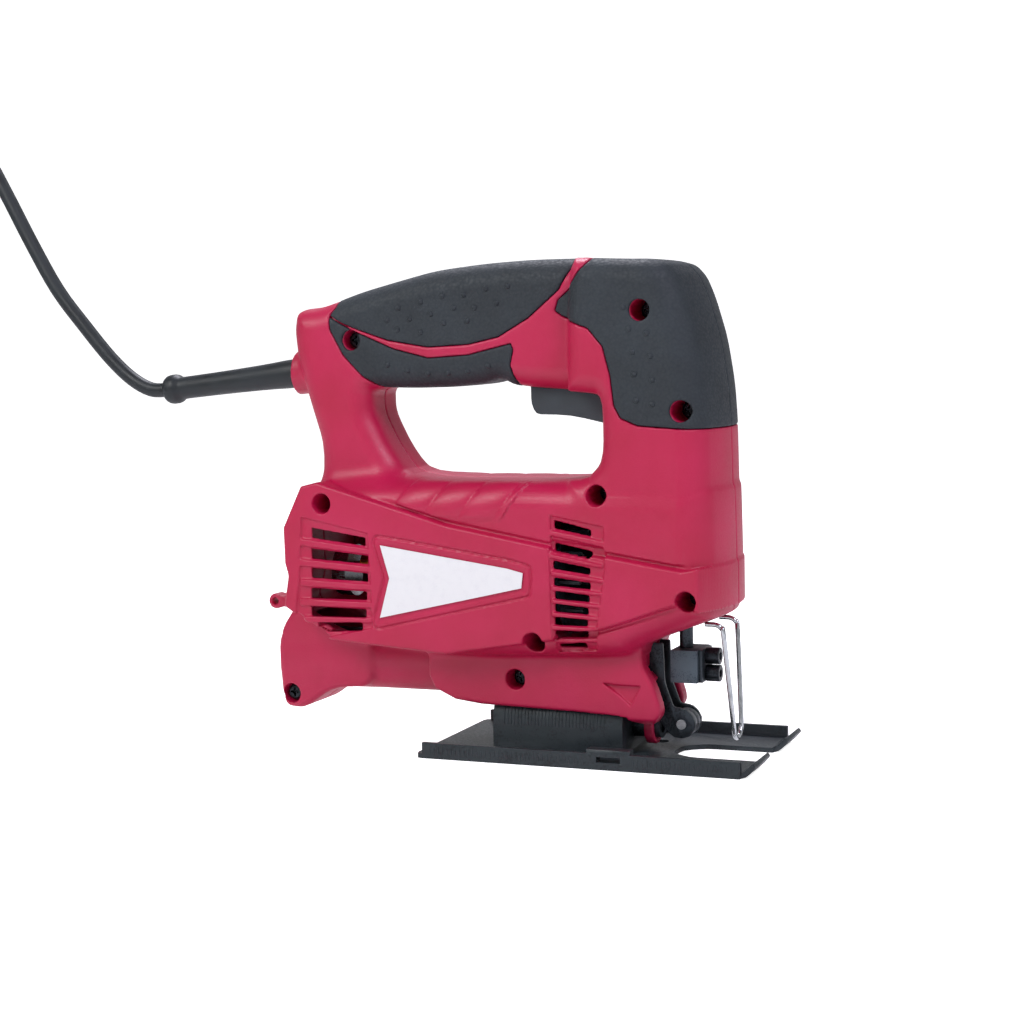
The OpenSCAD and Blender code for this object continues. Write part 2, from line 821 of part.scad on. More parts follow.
housing_right();
housing_left();
grip_upper_right();
grip_upper_left();
grip_lower_right();
grip_lower_left();
grip_front_right();
grip_front_left();
rating_label();
housing_screws();
gear_case();
motor_stator();
field_coils();
armature_core();
armature_windings();
armature_shaft();
commutator();
cooling_fan();
front_bearing();
rear_bearing();
pinion();
carbon_brushes();
brush_holders();
brush_springs();
drive_gear();
gear_shaft();
crank_pin();
crank_roller();
plunger_yoke();
plunger_rod();
lower_bush();
upper_bush();
clamp_block();
clamp_plate();
clamp_screws();
roller_fork();
roller_pin();
guide_roller();
wire_guard();
shoe();
pivot_bolt();
pivot_sleeve();
dust_duct();
hex_key();
trigger();
trigger_pin();
trigger_spring();
switch_body();
lock_button();
lock_spring();
cord_clamp();
cord_guard();
cord_lead();
cord_coil();
cord_tail();
plug();
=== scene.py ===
# %% [markdown]
# # A corded jigsaw
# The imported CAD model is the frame: it says where each part is and which body carries it.
# This file gives that frame its looks. First come the view and the cord, because they
# decide how much room the object takes. The moulded casing and its rubber follow, then the
# metal parts, the small repeated parts, and last the floor and the lights.

# %% Load the frame
import bpy, bmesh, math
import numpy as np
import openvdb
from mathutils import Matrix, Vector
from mathutils.bvhtree import BVHTree


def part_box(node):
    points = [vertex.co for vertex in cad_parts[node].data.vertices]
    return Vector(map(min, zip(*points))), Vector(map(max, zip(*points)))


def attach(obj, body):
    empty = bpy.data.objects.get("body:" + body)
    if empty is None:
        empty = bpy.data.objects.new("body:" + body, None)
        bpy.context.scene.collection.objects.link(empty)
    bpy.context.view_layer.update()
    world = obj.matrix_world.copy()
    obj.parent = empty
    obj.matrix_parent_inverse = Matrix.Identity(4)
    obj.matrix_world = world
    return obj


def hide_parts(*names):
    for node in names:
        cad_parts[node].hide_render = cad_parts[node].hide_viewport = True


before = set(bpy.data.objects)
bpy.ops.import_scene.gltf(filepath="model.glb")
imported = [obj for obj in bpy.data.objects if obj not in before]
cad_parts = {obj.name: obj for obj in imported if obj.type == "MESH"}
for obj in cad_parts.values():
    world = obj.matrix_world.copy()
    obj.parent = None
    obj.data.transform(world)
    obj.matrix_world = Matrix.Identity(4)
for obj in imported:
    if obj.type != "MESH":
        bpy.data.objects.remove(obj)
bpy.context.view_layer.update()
MM = 0.001


def linked(name, data):
    """A new object in the scene that holds this data."""
    piece = bpy.data.objects.new(name, data)
    bpy.context.scene.collection.objects.link(piece)
    return piece


# %% [markdown]
# ## The view
# The camera stands in front of the saw's right side, a little above it, and is turned
# slightly about its own axis. Its three axes are worked out from two angles and that roll,
# which is easier to check by hand than a rotation matrix.

# %% Camera
AIM_MM, DISTANCE_MM, LENS_MM = (-0.25, 0, 97.79), 791.13, 66.98
azimuth, elevation, roll = (math.radians(a) for a in (22.85, 5.18, -1.48))
back = Vector((math.sin(azimuth) * math.cos(elevation),
               -math.cos(azimuth) * math.cos(elevation), math.sin(elevation)))
level = Vector((math.cos(azimuth), math.sin(azimuth), 0))
upright = back.cross(level)
right = level * math.cos(roll) + upright * math.sin(roll)
up = upright * math.cos(roll) - level * math.sin(roll)
eye = Vector(AIM_MM) * MM + back * DISTANCE_MM * MM

camera = linked("camera", bpy.data.cameras.new("camera"))
camera.data.sensor_width = 36
camera.data.lens = LENS_MM
camera.data.clip_start = 0.01
camera.matrix_world = Matrix((
    (right.x, up.x, back.x, eye.x), (right.y, up.y, back.y, eye.y),
    (right.z, up.z, back.z, eye.z), (0, 0, 0, 1)))
bpy.context.scene.camera = camera
print("camera at", [round(v, 3) for v in eye], "metres")

# %% [markdown]
# ## Small tools for materials
# A colour is written as it looks on a screen, in sRGB hex, and turned into the linear
# light that a renderer adds up. One function adds a node, sets its fields and inputs, and
# links its sockets, so that a material reads as a short list of what feeds what.

# %% Colour and node helpers
def linear(code):
    """An sRGB hex colour as linear red, green, blue and alpha."""
    parts = [int(code[i:i + 2], 16) / 255 for i in (1, 3, 5)]
    return [c / 12.92 if c <= 0.04045 else ((c + 0.055) / 1.055) ** 2.4 for c in parts] + [1]


def add(material, kind, fields=None, **inputs):
    """A new node. Fields are its settings; an input is a value or another node's socket."""
    node = material.node_tree.nodes.new(kind)
    for name, value in (fields or {}).items():
        setattr(node, name, value)
    for name, value in inputs.items():
        socket = node.inputs[int(name[1:]) if name[0] == "_" else name.replace("_", " ")]
        if isinstance(value, bpy.types.NodeSocket):
            material.node_tree.links.new(value, socket)
        else:
            socket.default_value = value
    return node


def ramp(material, factor, stops):
    """A colour ramp over a factor, from (position, hex colour) pairs."""
    node = add(material, "ShaderNodeValToRGB", Fac=factor)
    for i, (position, code) in enumerate(stops):
        element = (node.color_ramp.elements[i] if i < 2
                   else node.color_ramp.elements.new(position))
        element.position, element.color = position, linear(code)
    return node.outputs["Color"]


def remap(material, value, low, high, new_low, new_high):
    """A value from one range, turned into another."""
    node = add(material, "ShaderNodeMapRange", Value=value, From_Min=low, From_Max=high,
               To_Min=new_low, To_Max=new_high)
    return node.outputs["Result"]


def noise(material, where, size_mm, detail=2.0):
    """Noise whose blobs are about size_mm across on an object measured in metres."""
    return add(material, "ShaderNodeTexNoise", Vector=where, Scale=1 / (size_mm * MM),
               Detail=detail, Roughness=0.55).outputs["Fac"]


def new_material(name, **surface):
    """A material with a Principled surface, and the object's own coordinates."""
    material = bpy.data.materials.new(name)
    material.use_nodes = True
    material.node_tree.nodes.clear()
    shader = add(material, "ShaderNodeBsdfPrincipled", **surface)
    output = add(material, "ShaderNodeOutputMaterial")
    material.node_tree.links.new(shader.outputs["BSDF"], output.inputs["Surface"])
    where = add(material, "ShaderNodeTexCoord").outputs["Object"]
    return material, shader, where


def connect(material, shader, **sockets):
    """Feeds a shader's inputs from other nodes."""
    for name, socket in sockets.items():
        material.node_tree.links.new(socket, shader.inputs[name.replace("_", " ")])


def bumped(material, shader, height, distance_mm, strength=1.0):
    """Feeds a height to the shader's normal, as bumps distance_mm high."""
    node = add(material, "ShaderNodeBump", Height=height, Distance=distance_mm * MM,
               Strength=strength)
    connect(material, shader, Normal=node.outputs["Normal"])


print("helpers ready; example of linear red:", [round(c, 3) for c in linear("#c62c58")])

# %% [markdown]
# ## Moulded plastics and rubber
# The casing is ABS with a spark-eroded surface: the mould is etched, so the plastic comes
# out with a fine pebble that spreads its highlights. Two noises make it, one at the size of
# the pebble and one far larger that moves the colour a little, as pigment does in a thick
# and thin moulding. The grips are a soft rubber moulded over it, with a coarser, rounder
# grain like leather and almost no colour of its own.

# %% Red ABS
red_abs, shader, where = new_material("moulded_red_abs", Roughness=0.42,
                                      **{"Specular_IOR_Level": 0.5, "IOR": 1.53})
cloud = noise(red_abs, where, 34, 2)
pebble = noise(red_abs, where, 0.75, 3)
colour = ramp(red_abs, cloud, [(0.3, "#b10a3c"), (0.7, "#bd1049")])
connect(red_abs, shader, Base_Color=colour,
        Roughness=remap(red_abs, pebble, 0.3, 0.7, 0.36, 0.5))
bumped(red_abs, shader, pebble, 0.12, 0.55)
print("casing material:", red_abs.name)

# %% Black rubber
rubber, shader, where = new_material("moulded_soft_rubber", Roughness=0.62,
                                     **{"Specular_IOR_Level": 0.45, "IOR": 1.5})
grain = add(rubber, "ShaderNodeTexVoronoi", {"feature": "SMOOTH_F1"}, Vector=where,
            Scale=1 / (1.15 * MM), Smoothness=0.35).outputs["Distance"]
patch = noise(rubber, where, 22, 3)
connect(rubber, shader, Base_Color=ramp(rubber, patch, [(0.3, "#23292e"), (0.7, "#2b3238")]),
        Roughness=remap(rubber, grain, 0.1, 0.8, 0.5, 0.72))
bumped(rubber, shader, grain, 0.16, 0.6)
print("grip material:", rubber.name)

# %% Cord sheath and hard black plastic
sheath, shader, where = new_material("rubber_cord_sheath", Roughness=0.45,
                                     **{"Specular_IOR_Level": 0.5, "IOR": 1.5})
talc = noise(sheath, where, 9, 4)
fine = noise(sheath, where, 0.5, 2)
connect(sheath, shader, Base_Color=ramp(sheath, talc, [(0.3, "#14191d"), (0.75, "#1d2429")]),
        Roughness=remap(sheath, talc, 0.3, 0.7, 0.4, 0.55))
bumped(sheath, shader, fine, 0.05, 0.4)

black_plastic, shader, where = new_material("moulded_black_nylon", Roughness=0.45,
                                            **{"Specular_IOR_Level": 0.5, "IOR": 1.53})
frost = noise(black_plastic, where, 0.6, 3)
connect(black_plastic, shader,
        Base_Color=ramp(black_plastic, noise(black_plastic, where, 14, 2),
                        [(0.3, "#2b3238"), (0.7, "#353d44")]),
        Roughness=remap(black_plastic, frost, 0.3, 0.7, 0.38, 0.54))
bumped(black_plastic, shader, frost, 0.08, 0.5)
print("plastics:", [m.name for m in (red_abs, rubber, sheath, black_plastic)])

# %% [markdown]
# ## The cord
# A two-core rubber lead, 6.5 mm thick. It leaves the strain relief, rises in the same
# stiff arc as the real one, comes down behind the view and winds into a flat coil of two
# layers, with the plug lying beside it. The route is a list of points in millimetres that
# the CAD solids also follow. A curve with a round bevel is the right tool, because its own
# line is the cord's length and one number is its thickness.

# %% Route of the cord
CORD_D = 6.5
COIL_X, COIL_R = -375, 38
lead_route = [(-165, 0, 150.6), (-174, 0, 151), (-184, 0, 156), (-195, 0, 165.5),
              (-208, 0, 180), (-222, 0, 197), (-236, 1, 219), (-250, 2, 243),
              (-264, 4, 264), (-280, 7, 279), (-298, 11, 285), (-315, 16, 279),
              (-328, 21, 262), (-336, 26, 235), (-340, 30, 200), (-341, 34, 160),
              (-341, 38, 120), (-340, 41, 80), (-340, 43, 45), (-344, 44, 22),
              (-356, 44.5, 8), (-375, 44.5, 3.25)]
tail_route = [(-375, 44.5, 9.75), (-392, 43.5, 9.75), (-408, 37, 9.75), (-422, 30, 9.2),
              (-434, 27, 8.5)]


def smooth(points, steps):
    """A Catmull-Rom curve through the points."""
    p = [np.array(q, float) for q in points]
    p = [2 * p[0] - p[1]] + p + [2 * p[-1] - p[-2]]
    out = []
    for a, b, c, d in zip(p, p[1:], p[2:], p[3:]):
        for k in range(steps):
            t = k / steps
            out.append(0.5 * (2 * b + (c - a) * t + (2 * a - 5 * b + 4 * c - d) * t * t
                              + (3 * b - a - 3 * c + d) * t ** 3))
    return out + [p[-2]]


def coil(turns=3, per_turn=36):
    """Inwards on the lower layer, up, and outwards on the upper layer."""
    outer, inner = COIL_R + CORD_D, COIL_R - CORD_D
    points = []
    for layer in (0, 1):
        for k in range(turns * per_turn):
            turn = k / per_turn
            shift = min(1, max(0, (turn % 1 - 0.8) / 0.2)) + int(turn)
            shift = min(shift, turns - 1)
            r = outer - CORD_D * shift if layer == 0 else inner + CORD_D * shift
            rise = 0
            if layer == 0 and turn > turns - 0.35:
                rise = CORD_D * (turn - turns + 0.35) / 0.35
            a = math.radians(90) + 2 * math.pi * turn
            points.append(np.array([COIL_X + r * math.cos(a), r * math.sin(a),
                                    CORD_D / 2 + layer * CORD_D + rise]))
    return points


route = smooth(lead_route, 4)[:-1] + coil()[1:] + smooth(tail_route, 4)

# %% Cord
curve = bpy.data.curves.new("mains_cord", "CURVE")
curve.dimensions = "3D"
curve.bevel_depth = CORD_D / 2 * MM
curve.bevel_resolution = 5
curve.use_fill_caps = True
spline = curve.splines.new("POLY")
spline.points.add(len(route) - 1)
for point, place in zip(spline.points, route):
    point.co = (*(place * MM), 1)
spline.use_smooth = True
cord = linked("mains_cord", curve)
cord.data.materials.append(sheath)
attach(cord, "casing")
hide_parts("cord_lead", "cord_coil", "cord_tail")
print("cord piece:", cord.name, "riding on the casing")

# %% [markdown]
# ## How the mouldings are shaped
# A moulded casing is full of soft edges, steps, wells and slots that run into each other.
# Modelling those one edge at a time is slow, so the casing is written as a distance field:
# a block of numbers, one every fraction of a millimetre, that says how far each place is
# from the plastic. Joining two forms is the smaller of two numbers, cutting is the larger,
# and a soft version of either gives the fillet a mould has. OpenVDB then turns the field
# into a skin. The field holds one side of the saw, and t is the distance from the centre
# plane, so both halves come from the same numbers.

# %% The block of numbers
STEP = 0.62
X = np.arange(-114, 100, STEP, dtype=np.float32)
T = np.arange(-1.5, 34.5, STEP, dtype=np.float32)
Z = np.arange(3, 205, STEP, dtype=np.float32)
GX, GZ = np.meshgrid(X, Z, indexing="ij")
x3, t3, z3 = X[:, None, None], T[None, :, None], Z[None, None, :]
print("field of", len(X) * len(T) * len(Z), "numbers,", STEP, "mm apart")


# %% Distances in the side view
def curved(p):
    """An outline in x and z with its corners cut twice, which rounds them."""
    for _ in range(2):
        after = np.roll(p, -1, 0)
        p = np.stack([p * 0.82 + after * 0.18, p * 0.18 + after * 0.82], 1).reshape(-1, 2)
    return p


def outline(points, sharp=False):
    """Signed distance to a closed outline, over the side view: negative inside."""
    p = np.array(points, float)
    if not sharp:
        p = curved(p)
    best = np.full(GX.shape, 1e9, np.float32)
    inside = np.zeros(GX.shape, bool)
    for (ax, az), (bx, bz) in zip(p, np.roll(p, -1, 0)):
        dx, dz = bx - ax, bz - az
        along = np.clip(((GX - ax) * dx + (GZ - az) * dz) / (dx * dx + dz * dz + 1e-9), 0, 1)
        best = np.minimum(best, (GX - ax - along * dx) ** 2 + (GZ - az - along * dz) ** 2)
        if dz:
            inside ^= ((az > GZ) != (bz > GZ)) & (GX < ax + (GZ - az) * dx / dz)
    return np.where(inside, -np.sqrt(best), np.sqrt(best)).astype(np.float32)


def disc(x, z, r):
    return np.hypot(GX - x, GZ - z) - r


def lift(side_view):
    """A side view repeated at every distance from the centre plane."""
    return side_view[:, None, :]


print("side view:", GX.shape, "places")

# %% Joining and cutting with fillets
def join(a, b, fillet=0.0):
    if not fillet:
        return np.minimum(a, b)
    h = np.maximum(fillet - np.abs(a - b), 0) / fillet
    return np.minimum(a, b) - h * h * fillet / 4


def cut(a, b, fillet=0.0):
    """What is in a and not in b."""
    return -join(-a, b, fillet)


def overlap(a, b, fillet=0.0):
    return -join(-a, -b, fillet)


def bowed(side_view, bow):
    """A side view whose front curves back towards the sides, as the nose does in plan."""
    weight = np.clip((X - 45) / 40, 0, 1)
    weight = weight * weight * (3 - 2 * weight)
    out = np.empty((len(X), len(T), len(Z)), np.float32)
    for j, t in enumerate(T):
        at = np.arange(len(X)) + bow * (max(t, 0) / 28) ** 2 * weight / STEP
        low = np.minimum(at.astype(int), len(X) - 2)
        part = (at - low)[:, None].astype(np.float32)
        out[:, j] = side_view[low] * (1 - part) + side_view[low + 1] * part
    return out


def form(side_view, half, edge, bow=0.0):
    """A side view given a half width, with a rounded edge all round."""
    a = (bowed(side_view, bow) if bow else lift(side_view)) + edge
    b = t3 - half + edge
    return (np.minimum(np.maximum(a, b), 0)
            + np.sqrt(np.maximum(a, 0) ** 2 + np.maximum(b, 0) ** 2) - edge)


def rod_x(x0, x1, r, z):
    """A cylinder along the saw."""
    across = np.hypot(t3, z3 - z) - r
    return np.maximum(across, np.abs(x3 - (x0 + x1) / 2) - (x1 - x0) / 2)


def pin(x, z, r, t0, t1):
    """A cylinder across the saw, between two distances from the centre plane."""
    return np.maximum(lift(disc(x, z, r)), np.abs(t3 - (t0 + t1) / 2) - (t1 - t0) / 2)


print("forms: slab of an outline, cylinder along the saw, cylinder across it")

# %% [markdown]
# ## The casing's forms
# Five forms make the body: the D-handle with its rear column, the front column, the motor
# body, the raised side panel, and the gear block with the dust tube below. Each is an
# outline in the side view with a half width and an edge radius, and the fillets between
# them are what makes the casing look moulded in one piece.

# %% Outlines of the forms
finger = outline([(-40, 112.6), (40, 112.4), (48.4, 121), (48.4, 146), (41, 147.3),
                  (8, 149.8), (1, 153.2), (-7, 151), (-20, 150), (-39, 149.8), (-57, 150.5),
                  (-57, 140), (-50, 126)])
handle_view = outline([(-84, 98), (-81.6, 125.5), (-87.6, 145), (-92.6, 163), (-93.8, 175),
                       (-92.5, 182.5), (-88.7, 184.2), (-79.8, 184.8), (-62, 190.4),
                       (-44.6, 194.4), (-27.5, 198.1), (-5.3, 200.1), (16.4, 200.9),
                       (46, 200.4), (46, 98)])
front_view = outline([(34, 66), (34, 200.9), (48.1, 199.9), (61, 199.2), (71.2, 198.9),
                      (78, 197), (82.6, 192.2), (86.2, 183.7), (90.8, 167.9),
                      (93.6, 149.9), (94.6, 133), (94.9, 103.6), (95.4, 81.7), (95.4, 66)])
body_view = outline([(-96, 58), (-71, 44), (-18, 40), (56, 43), (63, 47.2), (90, 57.2),
                     (95.4, 60), (95.4, 100), (95, 112.2), (-81.5, 112.2), (-91, 93),
                     (-90.3, 75)])
panel_view = outline([(-82.7, 110.4), (-75, 112.2), (-16.7, 95.2), (27.8, 86.9),
                      (90.2, 78.6), (96.6, 80), (96.5, 62), (90, 65.9), (61, 57.8),
                      (32, 50.1), (-18.4, 42.3), (-71, 46.3), (-92.4, 59.9),
                      (-90, 72.8), (-91.4, 78), (-91.6, 92.9)], sharp=True)
block_view = outline([(-32, 20.5), (47, 18.3), (61.5, 14.8), (66, 15), (69.5, 20),
                      (66, 31), (61, 40), (62, 55), (-32, 55)])
rear_view = outline([(-105, 22), (-103, 13.6), (-94, 13), (-80, 22.6), (-60, 24),
                     (-60, 47), (-95, 60), (-105, 46)])
print("outlines: finger gap, handle, front, body, panel, block, rear")

# %% The outer surface
HANDLE_HALF, BODY_HALF, PANEL_HALF, BLOCK_HALF, REAR_HALF = 17.5, 29.3, 31.4, 18.6, 14.8
GUARD_X, GUARD_Z = -88, 158.1
handle = form(np.maximum(handle_view, -finger), HANDLE_HALF, 10)
width = np.interp(Z, [66, 100, 133, 200], [28.9, 28.7, 28.3, 27.4]).astype(np.float32)
front = form(np.maximum(front_view, -finger), width[None, None, :], 9, bow=6)
core = form(body_view, BODY_HALF, 11, bow=6)
panel = form(panel_view, PANEL_HALF, 1.3, bow=6)
block = form(block_view, BLOCK_HALF, 1.6)
tube = join(rod_x(-103.5, -24, 13.6, 35), form(rear_view, REAR_HALF, 2.6), 3)

# Soft ribs for the second hand, on the floor of the opening
along_ribs = (GX + 34 + (112 - GZ) * 0.7) / 16
rib = np.abs(np.sin(np.pi * along_ribs)) ** 0.45 * ((along_ribs > 0) & (along_ribs < 3.2))
rib = rib * np.clip((GZ - 96) / 3, 0, 1) * np.clip((116 - GZ) / 2, 0, 1)
core = core - 1.2 * lift(rib.astype(np.float32))

outer = join(handle, core, 9)
outer = join(outer, front, 2.5)
outer = join(outer, join(block, tube, 2.5), 3)
outer = cut(outer, lift(finger) + 0 * t3, 1.2)
# A groove just outside the panel makes its edge read as a separate raised face
beside_panel = np.maximum(np.abs(bowed(panel_view, 6) - 0.9) - 0.75, 28.3 - t3)
outer = cut(outer, np.maximum(beside_panel, 44 - z3), 0.6)
outer = join(outer, panel, 0.5)
# Distance from the strain relief's axis, which slopes down to the rear
guard_axis = np.hypot(t3, (z3 - GUARD_Z) * 0.9952 + (x3 - GUARD_X) * -0.0971)
guard_collar = np.maximum(guard_axis - 9.4, np.abs(x3 + 92) - 5.5)
outer = join(outer, guard_collar, 2.5)
print("outer surface: lowest value", round(float(outer.min()), 1), "mm")

# %% [markdown]
# ## Rubber grips, wells, vents and openings
# The grips are set into beds 2 mm deep, so the same outer surface serves for both, with a
# hair-wide line between them. The casing itself is a shell: its cavity is the outer
# surface moved inwards. Wells for the screws, louvred vents, the label's frame and the
# openings for the moving parts are then cut through it.

# %% Grips
upper_grip = outline([(-74.2, 181), (-72, 184.1), (-73, 208), (37.5, 208), (35.9, 199),
                      (29.3, 188.2), (16.1, 177.5), (2.8, 170.2), (-10.6, 167.5),
                      (-28.6, 166.8), (-46.8, 170.0), (-61.5, 175.0), (-68, 177.6)],
                     sharp=True)
lower_grip = outline([(-74.2, 180.6), (-68, 177.2), (-62.2, 174.2), (-44.5, 166.6),
                      (-28.7, 162.5), (-10.7, 163.4), (8.2, 167.6), (9.2, 164.9),
                      (7.7, 158.9), (8.9, 153.6), (12, 144), (-44, 144), (-50.2, 149),
                      (-58.9, 155.1), (-67.9, 164.4), (-73.7, 175)], sharp=True)
front_grip = outline([(45, 208), (44.5, 198.7), (38.5, 191.9), (29, 184.5), (27.5, 180),
                      (31, 177.7), (45, 172.7), (51, 165.5), (54, 154), (55.3, 142.5),
                      (58, 137.5), (65, 134.5), (84, 133), (112, 132.6), (112, 208)],
                     sharp=True)
grip_views = {"upper": upper_grip, "lower": lower_grip, "front": front_grip}
beds = np.minimum(np.minimum(upper_grip, lower_grip), front_grip)
print("grips:", list(grip_views))

# %% Cavity and beds
BED_DEPTH = 2.05
wall = 2.4 + 2.0 * np.clip(1 - beds / 2, 0, 1)
casing = np.maximum(outer, -(outer + lift(wall.astype(np.float32))))
bed_space = np.maximum(lift(beds), -(outer + BED_DEPTH))
casing = cut(casing, bed_space, 0.4)
print("walls", round(float(wall.min()), 1), "to", round(float(wall.max()), 1), "mm thick")

# %% Wells and posts
POST_R, SCREW_BORE_R, WELL_R = 5.5, 2.2, 4.2
# x, z, distance of the head from the centre plane, start of the post
WELLS = [(-64, 170.5, 9.2, 0), (-73, 103.3, 12, 0), (-99.5, 19.5, 9.2, 0), (7, 31, 9.2, 0),
         (20, 48.3, 12, 0), (47.5, 107.4, 12, 9.6), (84, 66.5, 12, 9.6),
         (82.2, 140, 12, 9.6), (66.3, 179.2, 12, 0)]
for wx, wz, head, start in WELLS:
    casing = join(casing, np.maximum(pin(wx, wz, POST_R, start, 40), outer + 0.6), 0.6)
# The posts may have grown into the beds, so the beds are cut once more
casing = cut(casing, bed_space, 0.4)
print("wells:", len(WELLS))

# %% Vents, panel detail and the label's frame
rear_slots = [((-78.3, 91), (-53.4, 87.6)), ((-78.7, 82.3), (-52.6, 80.1)),
              ((-79, 74.2), (-52.8, 72.8)), ((-79.4, 65.7), (-53.6, 65.2)),
              ((-79.7, 58), (-54, 57.8)), ((-76.5, 51.4), (-56, 52.4))]
front_slots = [((29.6, 95.8), (45, 92.6)), ((29.4, 86.8), (45, 83.9)),
               ((29.6, 80), (45, 77.6)), ((29.8, 73.3), (45, 71.8)),
               ((30, 68), (44.5, 66.8)), ((29.9, 62.9), (44, 61.8)),
               ((29.8, 57.6), (43.5, 57.1)), ((29.8, 52.2), (42.5, 52.4)),
               ((30.2, 46.2), (41.5, 47.4))]


def bars(ends, half, left=0.0, right=0.0):
    """Thin upright-ended bars between pairs of points, as one side view."""
    out = np.full(GX.shape, 1e3, np.float32)
    for (ax, az), (bx, bz) in ends:
        slope = (bz - az) / (bx - ax)
        a, b = ax - left, bx + right
        za, zb = az - slope * left, bz + slope * right
        out = np.minimum(out, outline([(a, za - half), (b, zb - half * 0.8),
                                       (b, zb + half * 0.8), (a, za + half)], sharp=True))
    return out


def between_slots(slots):
    """The fins: one halfway between each slot and the next."""
    return [tuple(((p[0] + q[0]) / 2, (p[1] + q[1]) / 2) for p, q in zip(a, b))
            for a, b in zip(slots, slots[1:])]


rear_recess = outline([(-82.5, 97.6), (-51.8, 91.2), (-50.8, 52), (-74.5, 46.9),
                       (-87, 55.4), (-84.4, 72)], sharp=True)
front_recess = outline([(28, 91.4), (50.5, 87.2), (51.6, 80), (47.4, 54), (45.5, 45.6),
                        (28.8, 44.4)], sharp=True)
top_recess = outline([(28, 99.4), (50.8, 95.2), (50.6, 89.6), (28, 93.6)], sharp=True)
rear_fins = bars(between_slots(rear_slots), 1.5, 5, 4.5)
front_fins = bars(between_slots(front_slots[1:]), 0.9, 1, 5.5)
recess = np.minimum(np.maximum(rear_recess, -rear_fins),
                    np.maximum(np.minimum(front_recess, top_recess), -front_fins))
casing = cut(casing, np.maximum(lift(recess), -(outer + 1.1)), 0.4)
slots = np.minimum(bars(rear_slots, 2.1), bars(front_slots, 1.6))
casing = cut(casing, np.maximum(lift(slots), 24.5 - t3), 0.3)

label_edge = [(-46.7, 87.8), (-42.2, 73), (-47.9, 54.6), (17.1, 69.3), (17.8, 77.3),
              (10, 79.2)]
label_view = outline(label_edge, sharp=True)
casing = cut(casing, np.maximum(lift(np.abs(label_view - 2.6) - 0.45), 30.7 - t3), 0.3)
casing = cut(casing, np.maximum(lift(label_view - 0.5), 31.15 - t3), 0.2)
badge = outline([(42.5, 31.8), (62, 31.2), (56.8, 21.4), (51.5, 26)], sharp=True)
casing = cut(casing, np.maximum(lift(badge + 0.7), 16.9 - t3), 0.3)
print("vents:", len(rear_slots) + len(front_slots), "slots a side")

# %% Openings for the moving parts
TILT_Z = 11.5   # height of the axis that the shoe tilts about
DIAGONAL = 0.7071
# The tilted shoe's plate passes just under the gear block's lower edge
shoe_room = np.maximum((13.0 - t3 + z3 - TILT_Z) * DIAGONAL, np.abs(x3 - 25) - 58)
# The barrel's straight wall swings up to here when the shoe is tilted by 45 degrees
across, above = (t3 + z3 - TILT_Z) * DIAGONAL, (z3 - TILT_Z - t3) * DIAGONAL
tilted_wall = np.maximum(np.maximum(np.abs(across) - 17.3, np.abs(above + 6) - 6.1),
                         np.abs(x3 - 11) - 44)
openings = [
    np.maximum(lift(outline([(11.5, 130), (47.2, 130), (47.2, 156), (11.5, 156)], True)),
               t3 - 9.2),
    np.maximum(lift(outline([(69, 44), (81, 44), (81, 57), (69, 57)], True)), t3 - 9.4),
    np.maximum(lift(outline([(56, 8), (100, 8), (100, 46), (66, 46.2), (60.5, 42),
                             (60.5, 36), (64, 32), (60, 24), (52, 22), (52, 8)], True)),
               t3 - 11.8),
    np.maximum(lift(outline([(84, 45), (93.5, 45), (93.5, 58.7), (84, 58.7)], True)),
               np.abs(t3 - 10) - 1.6),
    rod_x(-33, 55, 17.3, TILT_Z),
    tilted_wall,
    rod_x(-110, -40, 12, 35),
    shoe_room,
    np.maximum(guard_axis - 6.25, np.abs(x3 + 96) - 10),
]
for opening in openings:
    casing = cut(casing, opening, 0.3)
# A web and a boss between the front brackets hold the pivot sleeve
holder = np.maximum(lift(outline([(58, 17), (60.5, 17), (60.5, 26), (58, 26)], True)), t3 - 16)
holder = cut(join(holder, rod_x(58, 62, 7.5, TILT_Z)), rod_x(57, 63, 5.1, TILT_Z))
casing = join(casing, holder)
for wx, wz, head, start in WELLS:
    casing = cut(casing, pin(wx, wz, SCREW_BORE_R, -2, 12))
print("openings:", len(openings))

# %% [markdown]
# ## From numbers to skin
# OpenVDB walks through the block and lays a face wherever the numbers change sign. The
# skin is far finer on flat places than it needs to be, so a Decimate modifier takes the
# spare faces away before the mesh is made final.

# %% Meshing
def plain_mesh(name, piece):
    """The evaluated shape of a piece as a plain mesh object with no modifiers."""
    mesh = bpy.data.meshes.new_from_object(
        piece.evaluated_get(bpy.context.evaluated_depsgraph_get()))
    bpy.data.objects.remove(piece)
    return linked(name, mesh)


def mesh_from(name, points, faces):
    """A mesh of quads or triangles from arrays, with smooth shading."""
    mesh = bpy.data.meshes.new(name)
    n, k = faces.shape
    mesh.vertices.add(len(points))
    mesh.vertices.foreach_set("co", np.ascontiguousarray(points * MM, np.float32).ravel())
    mesh.loops.add(n * k)
    mesh.loops.foreach_set("vertex_index", faces.astype(np.int32).ravel())
    mesh.polygons.add(n)
    mesh.polygons.foreach_set("loop_start", np.arange(0, n * k, k, dtype=np.int32))
    mesh.update(calc_edges=True)
    mesh.validate()
    mesh.shade_smooth()
    return linked(name, mesh)


